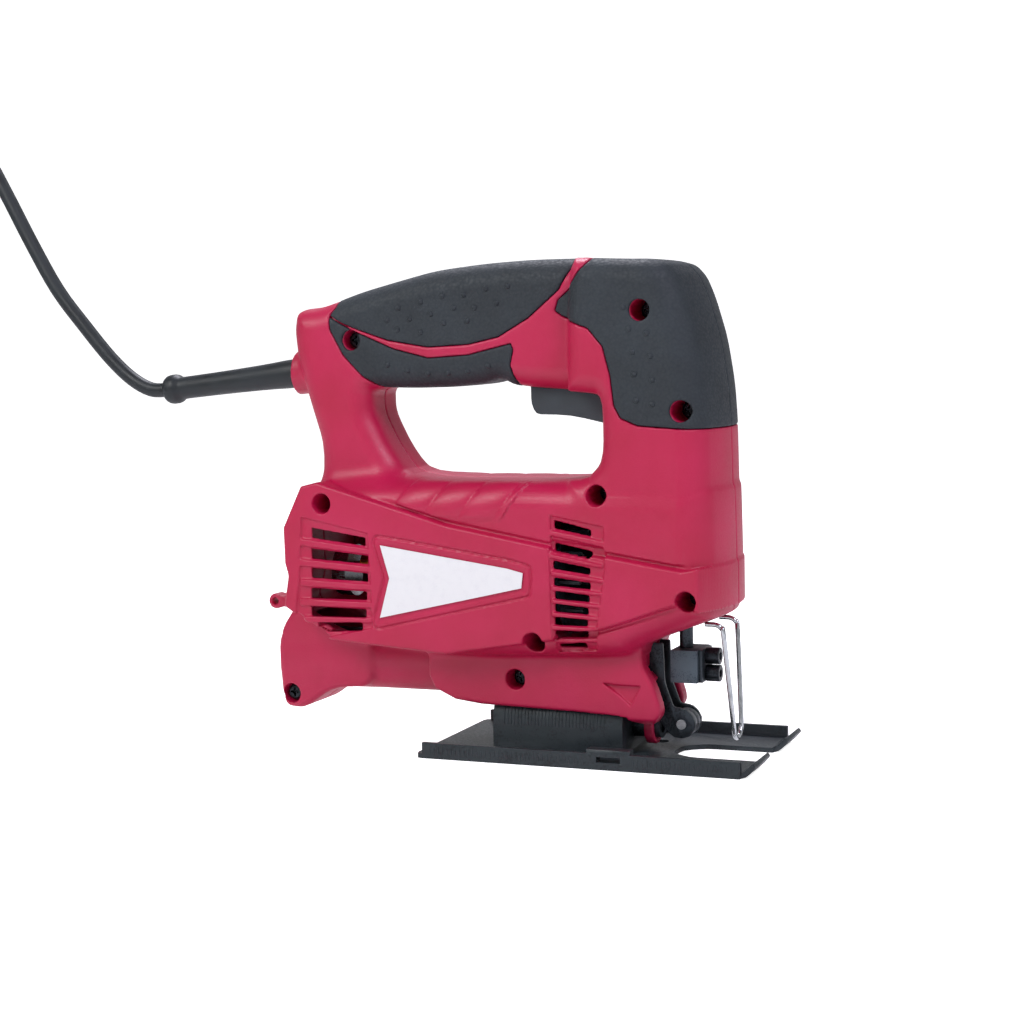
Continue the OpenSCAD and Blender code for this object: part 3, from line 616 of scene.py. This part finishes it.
def skin(name, field, side, material, most=180_000):
    """The surface of a field as a piece on one side of the saw."""
    grid = openvdb.FloatGrid(3 * STEP)
    grid.copyFromArray(np.clip(field, -3 * STEP, 3 * STEP))
    points, _, quads = grid.convertToPolygons(isovalue=0.0, adaptivity=0.0)
    points = points * STEP + np.array([X[0], T[0], Z[0]])
    points[:, 1] *= side
    a, b, c = (points[quads[:, i]] for i in (0, 1, 2))
    volume = np.einsum("ij,ij->i", a, np.cross(b, c)).sum()
    if volume < 0:
        quads = quads[:, ::-1]
    piece = mesh_from(name, points, quads)
    if 2 * len(quads) > most:
        thin = piece.modifiers.new("fewer faces", "DECIMATE")
        thin.ratio = most / (2 * len(quads))
        piece = plain_mesh(name, piece)
        piece.data.shade_smooth()
    piece.data.materials.clear()
    piece.data.materials.append(material)
    print(name, len(piece.data.polygons), "faces")
    return piece


# %% The two halves
centre = 0.06 - t3
half = overlap(casing, centre, 0.7)
bores = [np.maximum(pin(wx, wz, WELL_R, head, 50), head - t3) for wx, wz, head, _ in WELLS]
right_half = half
for bore in bores:
    right_half = cut(right_half, bore, 0.5)
lug = np.maximum(lift(disc(-109.2, 58.5, 3.3)), np.abs(t3 - 5.8) - 3.2)
arm = np.maximum(lift(outline([(-109.2, 56.4), (-93, 55), (-93, 61), (-109.2, 60.6)], True)),
                 np.abs(t3 - 5.8) - 3.2)
right_half = join(right_half, cut(join(lug, arm, 1.5), pin(-109.2, 58.5, 1.6, 0, 12), 0.3), 1)
right_piece = skin("casing_right", right_half, -1, red_abs)

left_half = cut(half, pin(30, 168, 5.3, 5, 30), 0.4)
for low in (72, 86):
    for near in (19.2, 24.6):
        clip = outline([(-99, low), (-88, low - 1), (-88, low + 6), (-99, low + 5)], True)
        left_half = join(left_half, np.maximum(lift(clip), np.abs(t3 - near - 0.6) - 0.6), 0.4)
left_piece = skin("casing_left", left_half, 1, red_abs)

for piece, node in ((right_piece, "housing_right"), (left_piece, "housing_left")):
    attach(piece, "casing")
    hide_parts(node)

# %% The six grips
for place, view in grip_views.items():
    grip = overlap(np.maximum(lift(view) + 0.18, -(outer + 1.95)), outer - 0.1, 0.7)
    grip = overlap(grip, centre, 0.5)
    for side, word in ((-1, "right"), (1, "left")):
        shaped = grip
        if side < 0:
            for bore in bores:
                shaped = cut(shaped, bore, 0.5)
        piece = skin(f"rubber_{place}_{word}", shaped, side, rubber, 60_000)
        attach(piece, "casing")
        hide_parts(f"grip_{place}_{word}")

# %% [markdown]
# ## Metals and the other finishes
# Each metal starts from how it was made. Drawn and turned steel has fine lines along or
# round it, zinc and aluminium castings are a little cloudy, the stamped shoe has a baked
# black coat that hides the sheet's grain, and the label is a foil with a brushed sheen.
# One function sets up a finish from its two colours, its roughness and the size of its
# grain; stretching the grain along one axis turns blotches into brush lines.

# %% Finishes
def finish_of(name, dark, light, rough, grain_mm, metal=1.0, stretch=(1, 1, 1), bump_mm=0.02):
    material, shader, where = new_material(name, Metallic=metal, Roughness=rough)
    turned = add(material, "ShaderNodeMapping", Vector=where, Scale=stretch).outputs["Vector"]
    lines = noise(material, turned, grain_mm, 3)
    blotch = noise(material, where, grain_mm * 12, 3)
    mixed = add(material, "ShaderNodeMath", {"operation": "ADD"}, _0=lines, _1=blotch).outputs[0]
    connect(material, shader, Base_Color=ramp(material, mixed, [(0.8, dark), (1.0, light)]),
            Roughness=remap(material, lines, 0.3, 0.7, rough - 0.07, rough + 0.09))
    bumped(material, shader, lines, bump_mm, 0.5)
    return material


ground_steel = finish_of("ground_steel", "#9a9da0", "#b9bcbf", 0.3, 0.5, stretch=(0.1, 1, 1))
wire_steel = finish_of("drawn_bright_wire", "#9fa4a8", "#c9cdd0", 0.2, 0.6, stretch=(1, 1, 0.1))
roller_steel = finish_of("turned_roller_steel", "#5d6064", "#83868a", 0.36, 0.5,
                         stretch=(1, 0.2, 1))
blued_steel = finish_of("blued_steel", "#2c3136", "#42494f", 0.38, 0.8, metal=0.75)
block_steel = finish_of("phosphated_steel", "#3c464e", "#56626b", 0.5, 0.6, metal=0.4)
screw_steel = finish_of("black_oxide_screw", "#1d2023", "#30353a", 0.34, 0.5, metal=0.8)
casting = finish_of("die_cast_zinc", "#85898d", "#a0a4a8", 0.5, 1.2)
lamination = finish_of("stacked_laminations", "#6d7175", "#8b8f94", 0.45, 0.5,
                       stretch=(2, 0.1, 0.1), bump_mm=0.1)
copper = finish_of("enamelled_copper", "#8c4a22", "#b5652f", 0.32, 0.5, stretch=(0.2, 1, 1),
                   bump_mm=0.15)
brass = finish_of("tinned_brass_sheet", "#55575a", "#6d6f72", 0.35, 0.6)
bronze = finish_of("sintered_bronze", "#8b6a3c", "#a98450", 0.5, 0.35)
carbon = finish_of("pressed_carbon", "#1c1d1f", "#2a2b2d", 0.6, 0.4, metal=0.0)
shoe_coat = finish_of("baked_black_coat", "#20262a", "#2d3539", 0.36, 0.9, metal=0.15,
                      bump_mm=0.05)
foil = finish_of("printed_label_foil", "#e6e6e9", "#ebebed", 0.34, 0.3, metal=0.0,
                 bump_mm=0.01)
ink = finish_of("label_border_ink", "#4a4c50", "#5c5e62", 0.5, 0.5, metal=0.0)
print("materials so far:", len(bpy.data.materials))

# %% Finishes of the CAD parts that keep their own shape
plain_nodes = {
    casting: ["gear_case"], lamination: ["motor_stator", "armature_core"],
    copper: ["field_coils", "armature_windings", "commutator"],
    ground_steel: ["armature_shaft", "front_bearing", "rear_bearing", "pinion", "brush_springs",
                   "drive_gear", "gear_shaft", "crank_pin", "crank_roller", "plunger_yoke",
                   "trigger_spring", "trigger_pin", "lock_spring", "roller_pin"],
    black_plastic: ["cooling_fan", "switch_body", "cord_clamp"],
    carbon: ["carbon_brushes"], brass: ["brush_holders"], bronze: ["lower_bush", "upper_bush"],
    blued_steel: ["plunger_rod", "pivot_sleeve"],
}
for material, names in plain_nodes.items():
    for name in names:
        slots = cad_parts[name].data.materials
        slots.clear()
        slots.append(material)
print("kept CAD parts:", sum(len(names) for names in plain_nodes.values()))

# %% [markdown]
# ## Stamped, cast and machined parts with real edges
# The CAD solids of the shoe, the blade clamp, the fork and their neighbours already have
# the right shape, but their edges are perfectly sharp, and no real edge is. A copy of each
# has its loose triangles merged, its flat faces joined, and a small Bevel put on the edges
# that turn by more than 30 degrees, so that each edge catches a line of light.

# %% Softened copies
def softened(node, body, material, width_mm, segments=2):
    shape = bmesh.new()
    shape.from_mesh(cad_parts[node].data)
    bmesh.ops.remove_doubles(shape, verts=shape.verts, dist=1e-6)
    bmesh.ops.dissolve_limit(shape, angle_limit=math.radians(1), verts=shape.verts,
                             edges=shape.edges)
    mesh = bpy.data.meshes.new(node + "_finished")
    shape.to_mesh(mesh)
    shape.free()
    piece = linked(node + "_shape", mesh)
    bevel = piece.modifiers.new("edges", "BEVEL")
    bevel.width, bevel.segments = width_mm * MM, segments
    bevel.limit_method, bevel.angle_limit = "ANGLE", math.radians(30)
    piece = plain_mesh(node + "_finished", piece)
    piece.data.shade_smooth()
    piece.data.set_sharp_from_angle(angle=math.radians(32))
    piece.data.materials.clear()
    piece.data.materials.append(material)
    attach(piece, body)
    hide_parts(node)
    return piece


for node, body, material, slot, width in (
        ("shoe", "shoe", shoe_coat, "shoe_coat", 0.5),
        ("clamp_block", "plunger", block_steel, "block_steel", 0.5),
        ("clamp_plate", "plunger", blued_steel, "dark_steel", 0.3),
        ("clamp_screws", "plunger", screw_steel, "black_screw", 0.5),
        ("roller_fork", "casing", blued_steel, "dark_steel", 0.25),
        ("guide_roller", "roller", roller_steel, "gear_steel", 0.35),
        ("pivot_bolt", "casing", blued_steel, "dark_steel", 0.4),
        ("dust_duct", "casing", black_plastic, "black_plastic", 0.5),
        ("hex_key", "key", blued_steel, "block_steel", 0.25),
        ("lock_button", "lock", black_plastic, "black_plastic", 0.9)):
    piece = softened(node, body, material, width)
    print(piece.name, len(piece.data.polygons), "faces")

# %% Trigger
trigger = softened("trigger", "trigger", black_plastic, 2.0, 4)
print(trigger.name, len(trigger.data.polygons), "faces")

# %% [markdown]
# ## Turned and bent parts
# The strain relief is turned: rings of points round an axis, joined side by side, which is
# what a lathe does. The wire guard is one bent wire, so a curve through its bends with a
# round bevel makes it. The label is a thin sheet with a printed border.

# %% A turned shape
def turned(name, rings, segments=48, cross=0.0):
    """Rings of (radius, height, share of the cross recess), joined into a closed skin."""
    shape = bmesh.new()
    loops = []
    for radius, height, share in rings:
        ring = []
        for k in range(segments):
            a = 2 * math.pi * k / segments
            lobe = max(abs(math.cos(a)), abs(math.sin(a))) ** 14
            r = radius * (1 - share + share * (0.35 + 0.65 * lobe)) * MM
            ring.append(shape.verts.new((r * math.cos(a), r * math.sin(a), height * MM)))
        loops.append(ring)
    for low, high in zip(loops, loops[1:]):
        for k in range(segments):
            n = (k + 1) % segments
            shape.faces.new((low[k], low[n], high[n], high[k]))
    shape.faces.new(list(reversed(loops[0])))
    shape.faces.new(loops[-1])
    mesh = bpy.data.meshes.new(name)
    shape.to_mesh(mesh)
    shape.free()
    mesh.shade_smooth()
    mesh.set_sharp_from_angle(angle=math.radians(40))
    return linked(name, mesh)


# %% Strain relief
guard = turned("strain_relief", [
    (6.0, 0, 0), (6.2, 1, 0), (6.2, 14, 0), (6.1, 17, 0), (5.8, 22, 0), (5.5, 30, 0),
    (5.25, 40, 0), (5.05, 52, 0), (4.95, 64, 0), (4.95, 68.5, 0), (5.3, 70, 0), (6.1, 71, 0),
    (6.5, 72.4, 0), (6.5, 74.6, 0), (6.2, 76, 0), (5.5, 77.1, 0), (4.6, 77.4, 0),
    (3.6, 77.3, 0)])
guard.data.transform(Matrix.Translation(Vector((GUARD_X, 0, GUARD_Z)) * MM)
                     @ Matrix.Rotation(math.radians(-95.57), 4, "Y"))
guard.data.materials.append(sheath)
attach(guard, "casing")
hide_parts("cord_guard")
print("strain relief from", [round(v, 3) for v in guard.data.vertices[0].co])


# %% Plug
PLUG_END, PLUG_Y, PLUG_Z = -470, 27, 8.5


def lofted(name, sections, sides=40):
    """Rounded-square rings of (x, half width, half height), joined along the plug."""
    shape = bmesh.new()
    rings = []
    for x, wide, high in sections:
        ring = []
        for k in range(sides):
            a = 2 * math.pi * k / sides
            y = wide * math.copysign(abs(math.cos(a)) ** 0.6, math.cos(a))
            z = high * math.copysign(abs(math.sin(a)) ** 0.6, math.sin(a))
            ring.append(shape.verts.new(Vector((x, PLUG_Y + y, PLUG_Z + z)) * MM))
        rings.append(ring)
    for low, high in zip(rings, rings[1:]):
        for k in range(sides):
            n = (k + 1) % sides
            shape.faces.new((low[k], high[k], high[n], low[n]))
    shape.faces.new(rings[0])
    shape.faces.new(list(reversed(rings[-1])))
    bmesh.ops.recalc_face_normals(shape, faces=shape.faces)
    mesh = bpy.data.meshes.new(name)
    shape.to_mesh(mesh)
    shape.free()
    mesh.shade_smooth()
    mesh.set_sharp_from_angle(angle=math.radians(50))
    return linked(name, mesh)


sleeve = [(-434.2, 4.0, 4.0)]
for x in (-436, -438.4, -440.8, -443.2):
    sleeve += [(x, 5.6, 5.4), (x - 1.2, 5.6, 5.4), (x - 1.5, 4.7, 4.5), (x - 2.1, 4.7, 4.5)]
plug = lofted("plug_body", sleeve + [
    (-446, 6.5, 5.8), (-448.5, 10.6, 7.2), (-451.5, 12.6, 8.2), (-456, 13, 8.5),
    (-461, 12.6, 8.2), (-466, 13, 8.5), (-468.8, 12.9, 8.4), (-469.7, 12.3, 7.8),
    (-470, 11, 6.6)])
plug.data.materials.append(sheath)
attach(plug, "casing")
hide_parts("plug")
for word, y in (("a", 17.5), ("b", 36.5)):
    prong = turned("plug_pin_" + word, [(2.3, 0, 0), (2.3, 10, 0), (2.0, 10.3, 0),
                                        (2.0, 17.2, 0), (1.5, 18.5, 0), (0.6, 19, 0)], 24)
    prong.data.transform(Matrix.Translation(Vector((PLUG_END, y, PLUG_Z)) * MM)
                         @ Matrix.Rotation(math.radians(-90), 4, "Y"))
    prong.data.materials.append(ground_steel)
    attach(prong, "casing")
print("plug:", len(plug.data.polygons), "faces, and two pins")


# %% Wire guard
def tube(name, points, radius_mm, material):
    line = bpy.data.curves.new(name, "CURVE")
    line.dimensions = "3D"
    line.bevel_depth, line.bevel_resolution, line.use_fill_caps = radius_mm * MM, 4, True
    path = line.splines.new("POLY")
    path.points.add(len(points) - 1)
    for point, place in zip(path.points, points):
        point.co = (*(Vector(place) * MM), 1)
    piece = linked(name + "_line", line)
    piece = plain_mesh(name, piece)
    piece.data.shade_smooth()
    piece.data.materials.clear()
    piece.data.materials.append(material)
    return piece


leg = [(85.5, -10, 55.2), (90, -10, 55), (92.3, -9.95, 53.4), (93, -9.8, 50)]
bend = [(95.2, 5.5 * math.cos(a), 13.7 + 5.5 * math.sin(a))
        for a in np.radians(np.arange(180, 361, 22.5))]
wire = tube("wire_guard_bent", smooth(leg + bend + [(x, -y, z) for x, y, z in leg[::-1]], 5),
            1.0, wire_steel)
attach(wire, "casing")
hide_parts("wire_guard")
print("wire guard:", len(wire.data.polygons), "faces")

# %% Label
label_low, label_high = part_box("rating_label")
sheet = bmesh.new()
corners = [(-46.0, 86.5), (-42.2, 73), (-47, 56.5), (16.2, 70.4), (17, 76.5), (10, 78.2)]
face = sheet.faces.new([sheet.verts.new((x * MM, label_low.y + 0.0002, z * MM))
                        for x, z in corners])
sheet.normal_update()
if face.normal.y > 0:
    face.normal_flip()
bmesh.ops.inset_region(sheet, faces=[face], thickness=1.3 * MM)["faces"]
line = bmesh.ops.inset_region(sheet, faces=[face], thickness=0.6 * MM)["faces"]
for f in line:
    f.material_index = 1
outline_edges = [e for e in sheet.edges if e.is_boundary]
grown = bmesh.ops.extrude_edge_only(sheet, edges=outline_edges)["geom"]
back_verts = [v for v in grown if isinstance(v, bmesh.types.BMVert)]
for v in back_verts:
    v.co.y = label_high.y
bmesh.ops.contextual_create(sheet, geom=back_verts)
bmesh.ops.recalc_face_normals(sheet, faces=sheet.faces)
label_mesh = bpy.data.meshes.new("label_sheet")
sheet.to_mesh(label_mesh)
sheet.free()
label = linked("label_sheet", label_mesh)
label.data.materials.append(foil)
label.data.materials.append(ink)
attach(label, "casing")
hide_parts("rating_label")
print("label:", len(label.data.polygons), "faces")

# %% [markdown]
# ## Parts that repeat
# Nine screws, the grip's dots, the fine ribs round the shoe's barrel and the tick marks
# along its flanges are each one small shape many times over. A Geometry Nodes tree puts a
# copy of a part on each point, turns it to the point's own direction, and makes the
# copies real. The tree is built once, and its inputs say which part, how large, and in
# which finish.

# %% The tree that places copies
tree = bpy.data.node_groups.new("copies on points", "GeometryNodeTree")
tree.is_modifier = True
sockets = {}
for label_text, kind in (("Geometry", "Geometry"), ("Part", "Object"), ("Size", "Float"),
                         ("Finish", "Material")):
    sockets[label_text] = tree.interface.new_socket(label_text, in_out="INPUT",
                                                    socket_type="NodeSocket" + kind)
tree.interface.new_socket("Geometry", in_out="OUTPUT", socket_type="NodeSocketGeometry")


def step(kind, links=None, **fields):
    node = tree.nodes.new(kind)
    for name, value in fields.items():
        setattr(node, name, value)
    for name, socket in (links or {}).items():
        tree.links.new(socket, node.inputs[name])
    return node


given = step("NodeGroupInput")
part = step("GeometryNodeObjectInfo", {"Object": given.outputs["Part"]})
aim = step("GeometryNodeInputNamedAttribute", data_type="FLOAT_VECTOR")
aim.inputs["Name"].default_value = "aim"
turn = step("FunctionNodeAlignRotationToVector", {"Vector": aim.outputs["Attribute"]},
            axis="Z")
placed = step("GeometryNodeInstanceOnPoints",
              {"Points": given.outputs["Geometry"], "Instance": part.outputs["Geometry"],
               "Rotation": turn.outputs["Rotation"], "Scale": given.outputs["Size"]})
real = step("GeometryNodeRealizeInstances", {"Geometry": placed.outputs["Instances"]})
coated = step("GeometryNodeSetMaterial", {"Geometry": real.outputs["Geometry"],
                                          "Material": given.outputs["Finish"]})
step("NodeGroupOutput", {"Geometry": coated.outputs["Geometry"]})
print("tree with", len(tree.nodes), "nodes")


def copies(name, part, places, material, body, size=1.0, stands_for=()):
    """Copies of a part at (place, direction) pairs, as one plain mesh riding on a body."""
    mesh = bpy.data.meshes.new(name + "_points")
    mesh.from_pydata([Vector(p) * MM for p, _ in places], [], [])
    aims = mesh.attributes.new("aim", "FLOAT_VECTOR", "POINT")
    aims.data.foreach_set("vector", [c for _, d in places for c in d])
    points = linked(name + "_points", mesh)
    repeat = points.modifiers.new("copies", "NODES")
    repeat.node_group = tree
    for socket, value in (("Part", part), ("Size", size), ("Finish", material)):
        repeat[sockets[socket].identifier] = value
    piece = plain_mesh(name, points)
    piece.data.materials.clear()
    piece.data.materials.append(material)
    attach(piece, body)
    if stands_for:
        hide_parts(*stands_for)
    bpy.data.objects.remove(part)
    print(name, len(places), "copies,", len(piece.data.polygons), "faces")
    return piece


# %% Screws
screw = turned("screw", [(1.2, -20.8, 0), (1.8, -20, 0), (1.8, 0, 0), (3.6, 0, 0),
                         (3.6, 1.3, 0), (3.35, 2.0, 0), (2.8, 2.45, 0), (2.4, 2.6, 0),
                         (2.2, 2.6, 0.8), (2.0, 0.9, 0.8), (0.3, 0.7, 0)])
copies("casing_screws", screw, [((x, -head, z), (0, -1, 0)) for x, z, head, _ in WELLS],
       screw_steel, "casing", stands_for=["housing_screws"])

# %% Dots on the grips
rear_dots = [(-41.2, 183.2), (-36.3, 178.6), (-31.1, 185.4), (-26.7, 180.3), (-21.1, 187.5),
             (-16.3, 182.5), (-11.7, 187.6), (-7, 182.2), (-1.9, 189.7), (2.7, 183.9),
             (7.7, 190.5), (-46.5, 178.5), (-42, 174.3), (-31.5, 173), (-21, 176.5), (-10.5, 177)]
low_dots = [(-47, 160), (-38, 157.5), (-29, 156), (-20, 156), (-11, 156.6), (-2, 158.6)]
front_dots = [(60.1, 180.5), (62.2, 172), (69.5, 170.3), (63.6, 163.1), (70.9, 161.4),
              (64.2, 154.6), (71.5, 152.2), (64.9, 144.5), (71.3, 142.9)]
for side, word in ((-1, "right"), (1, "left")):
    places = []
    for place, spots in (("upper", rear_dots), ("lower", low_dots), ("front", front_dots)):
        mesh = bpy.data.objects[f"rubber_{place}_{word}"].data
        surface = BVHTree.FromPolygons([v.co for v in mesh.vertices],
                                       [tuple(p.vertices) for p in mesh.polygons])
        for x, z in spots:
            hit, normal, _, _ = surface.ray_cast(Vector((x, side * 60, z)) * MM,
                                                 Vector((0, -side, 0)))
            if hit:
                out = normal if normal.y * side > 0 else -normal
                places.append((hit / MM - out * 0.25, tuple(out)))
    dot = turned("dot", [(1.25, 0, 0), (1.2, 0.3, 0), (0.95, 0.62, 0), (0.5, 0.82, 0),
                         (0.12, 0.86, 0)], 14)
    copies(f"grip_dots_{word}", dot, places, rubber, "casing")

# %% Ribs round the barrel
arc = [(0, 17.0 * math.sin(a), 17.0 * math.cos(a)) for a in np.radians(np.arange(-88, 89, 8))]
barrel_rib = tube("barrel_rib", arc, 0.27, shoe_coat)
barrel_rib.data.transform(Matrix.Rotation(math.radians(-90), 4, "Y"))
copies("barrel_ribs", barrel_rib, [((x, 0, TILT_Z), (1, 0, 0)) for x in np.arange(1, 46, 1.5)],
       shoe_coat, "shoe")

# %% Tick marks along the flanges
tick = turned("tick", [(0.32, 0, 0), (0.3, 0.12, 0), (0.12, 0.26, 0)], 6)
tick.data.transform(Matrix.Diagonal((1, 7, 1, 1)))
ticks = [((x, side * 36.3, 3.4), (0, side, 0)) for x in np.arange(-24, 103, 1.9)
         for side in (-1, 1) if not 43 < x < 63]
copies("flange_ticks", tick, ticks, shoe_coat, "shoe")

# %% [markdown]
# ## Floor, backdrop and light
# The saw stands on a white floor that curves up into a wall all round, so that every view
# has the same plain backdrop. The camera sees it lit so brightly that it almost loses its
# shadows, as on a product table, while it sends much less of that light on to the saw.
# Three soft lamps do the rest: a broad one on the camera's left, a cooler one high on the
# right that draws the highlight along the top and the nose, and one behind that lights the
# far edges.

# %% Sweep
paper, shader, where = new_material("white_paper_sweep", Roughness=0.9)
shader.inputs["Base Color"].default_value = linear("#f4f4f4")
shader.inputs["Emission Color"].default_value = linear("#ffffff")
seen = add(paper, "ShaderNodeLightPath").outputs["Is Camera Ray"]
connect(paper, shader, Emission_Strength=remap(paper, seen, 0, 1, 0.1, 0.85))
bumped(paper, shader, noise(paper, where, 3, 2), 0.01, 0.2)
profile = [(0.001, 0)] + [(2.0 + 1.2 * math.sin(a), 1.2 - 1.2 * math.cos(a))
                          for a in np.linspace(0, math.pi / 2, 24)] + [(3.2, 4.0)]
sweep_mesh = bpy.data.meshes.new("paper_sweep")
around = 96
verts = [(r * math.cos(2 * math.pi * k / around), r * math.sin(2 * math.pi * k / around), h)
         for r, h in profile for k in range(around)]
faces = [(i * around + k, i * around + (k + 1) % around,
          (i + 1) * around + (k + 1) % around, (i + 1) * around + k)
         for i in range(len(profile) - 1) for k in range(around)]
sweep_mesh.from_pydata(verts, [], faces)
sweep_mesh.shade_smooth()
sweep_mesh.materials.append(paper)
sweep = linked("paper_sweep", sweep_mesh)
print("sweep:", len(faces), "faces")

# %% Lamps
world = bpy.data.worlds.new("soft white surround")
bpy.context.scene.world = world
world.use_nodes = True
world.node_tree.nodes["Background"].inputs["Color"].default_value = (1, 1, 1, 1)
world.node_tree.nodes["Background"].inputs["Strength"].default_value = 0.05


def lamp(name, place, size, watts, tint=(1, 1, 1), aim=(0, 0, 0.1)):
    data = bpy.data.lights.new(name, "AREA")
    data.shape, data.size, data.energy, data.color = "SQUARE", size, watts, tint
    piece = linked(name, data)
    piece.location = place
    piece.rotation_euler = (Vector(aim) - Vector(place)).to_track_quat("-Z", "Y").to_euler()


lamp("key", (-0.55, -0.9, 0.95), 0.45, 7.5)
lamp("nose", (0.7, -0.5, 1.0), 0.4, 6.5, (0.86, 0.84, 1.0))
lamp("rim", (-0.3, 0.6, 1.2), 0.5, 10, (0.9, 0.9, 1.0))
bpy.context.scene.view_settings.view_transform = "Standard"
print("lamps: key, nose, rim")
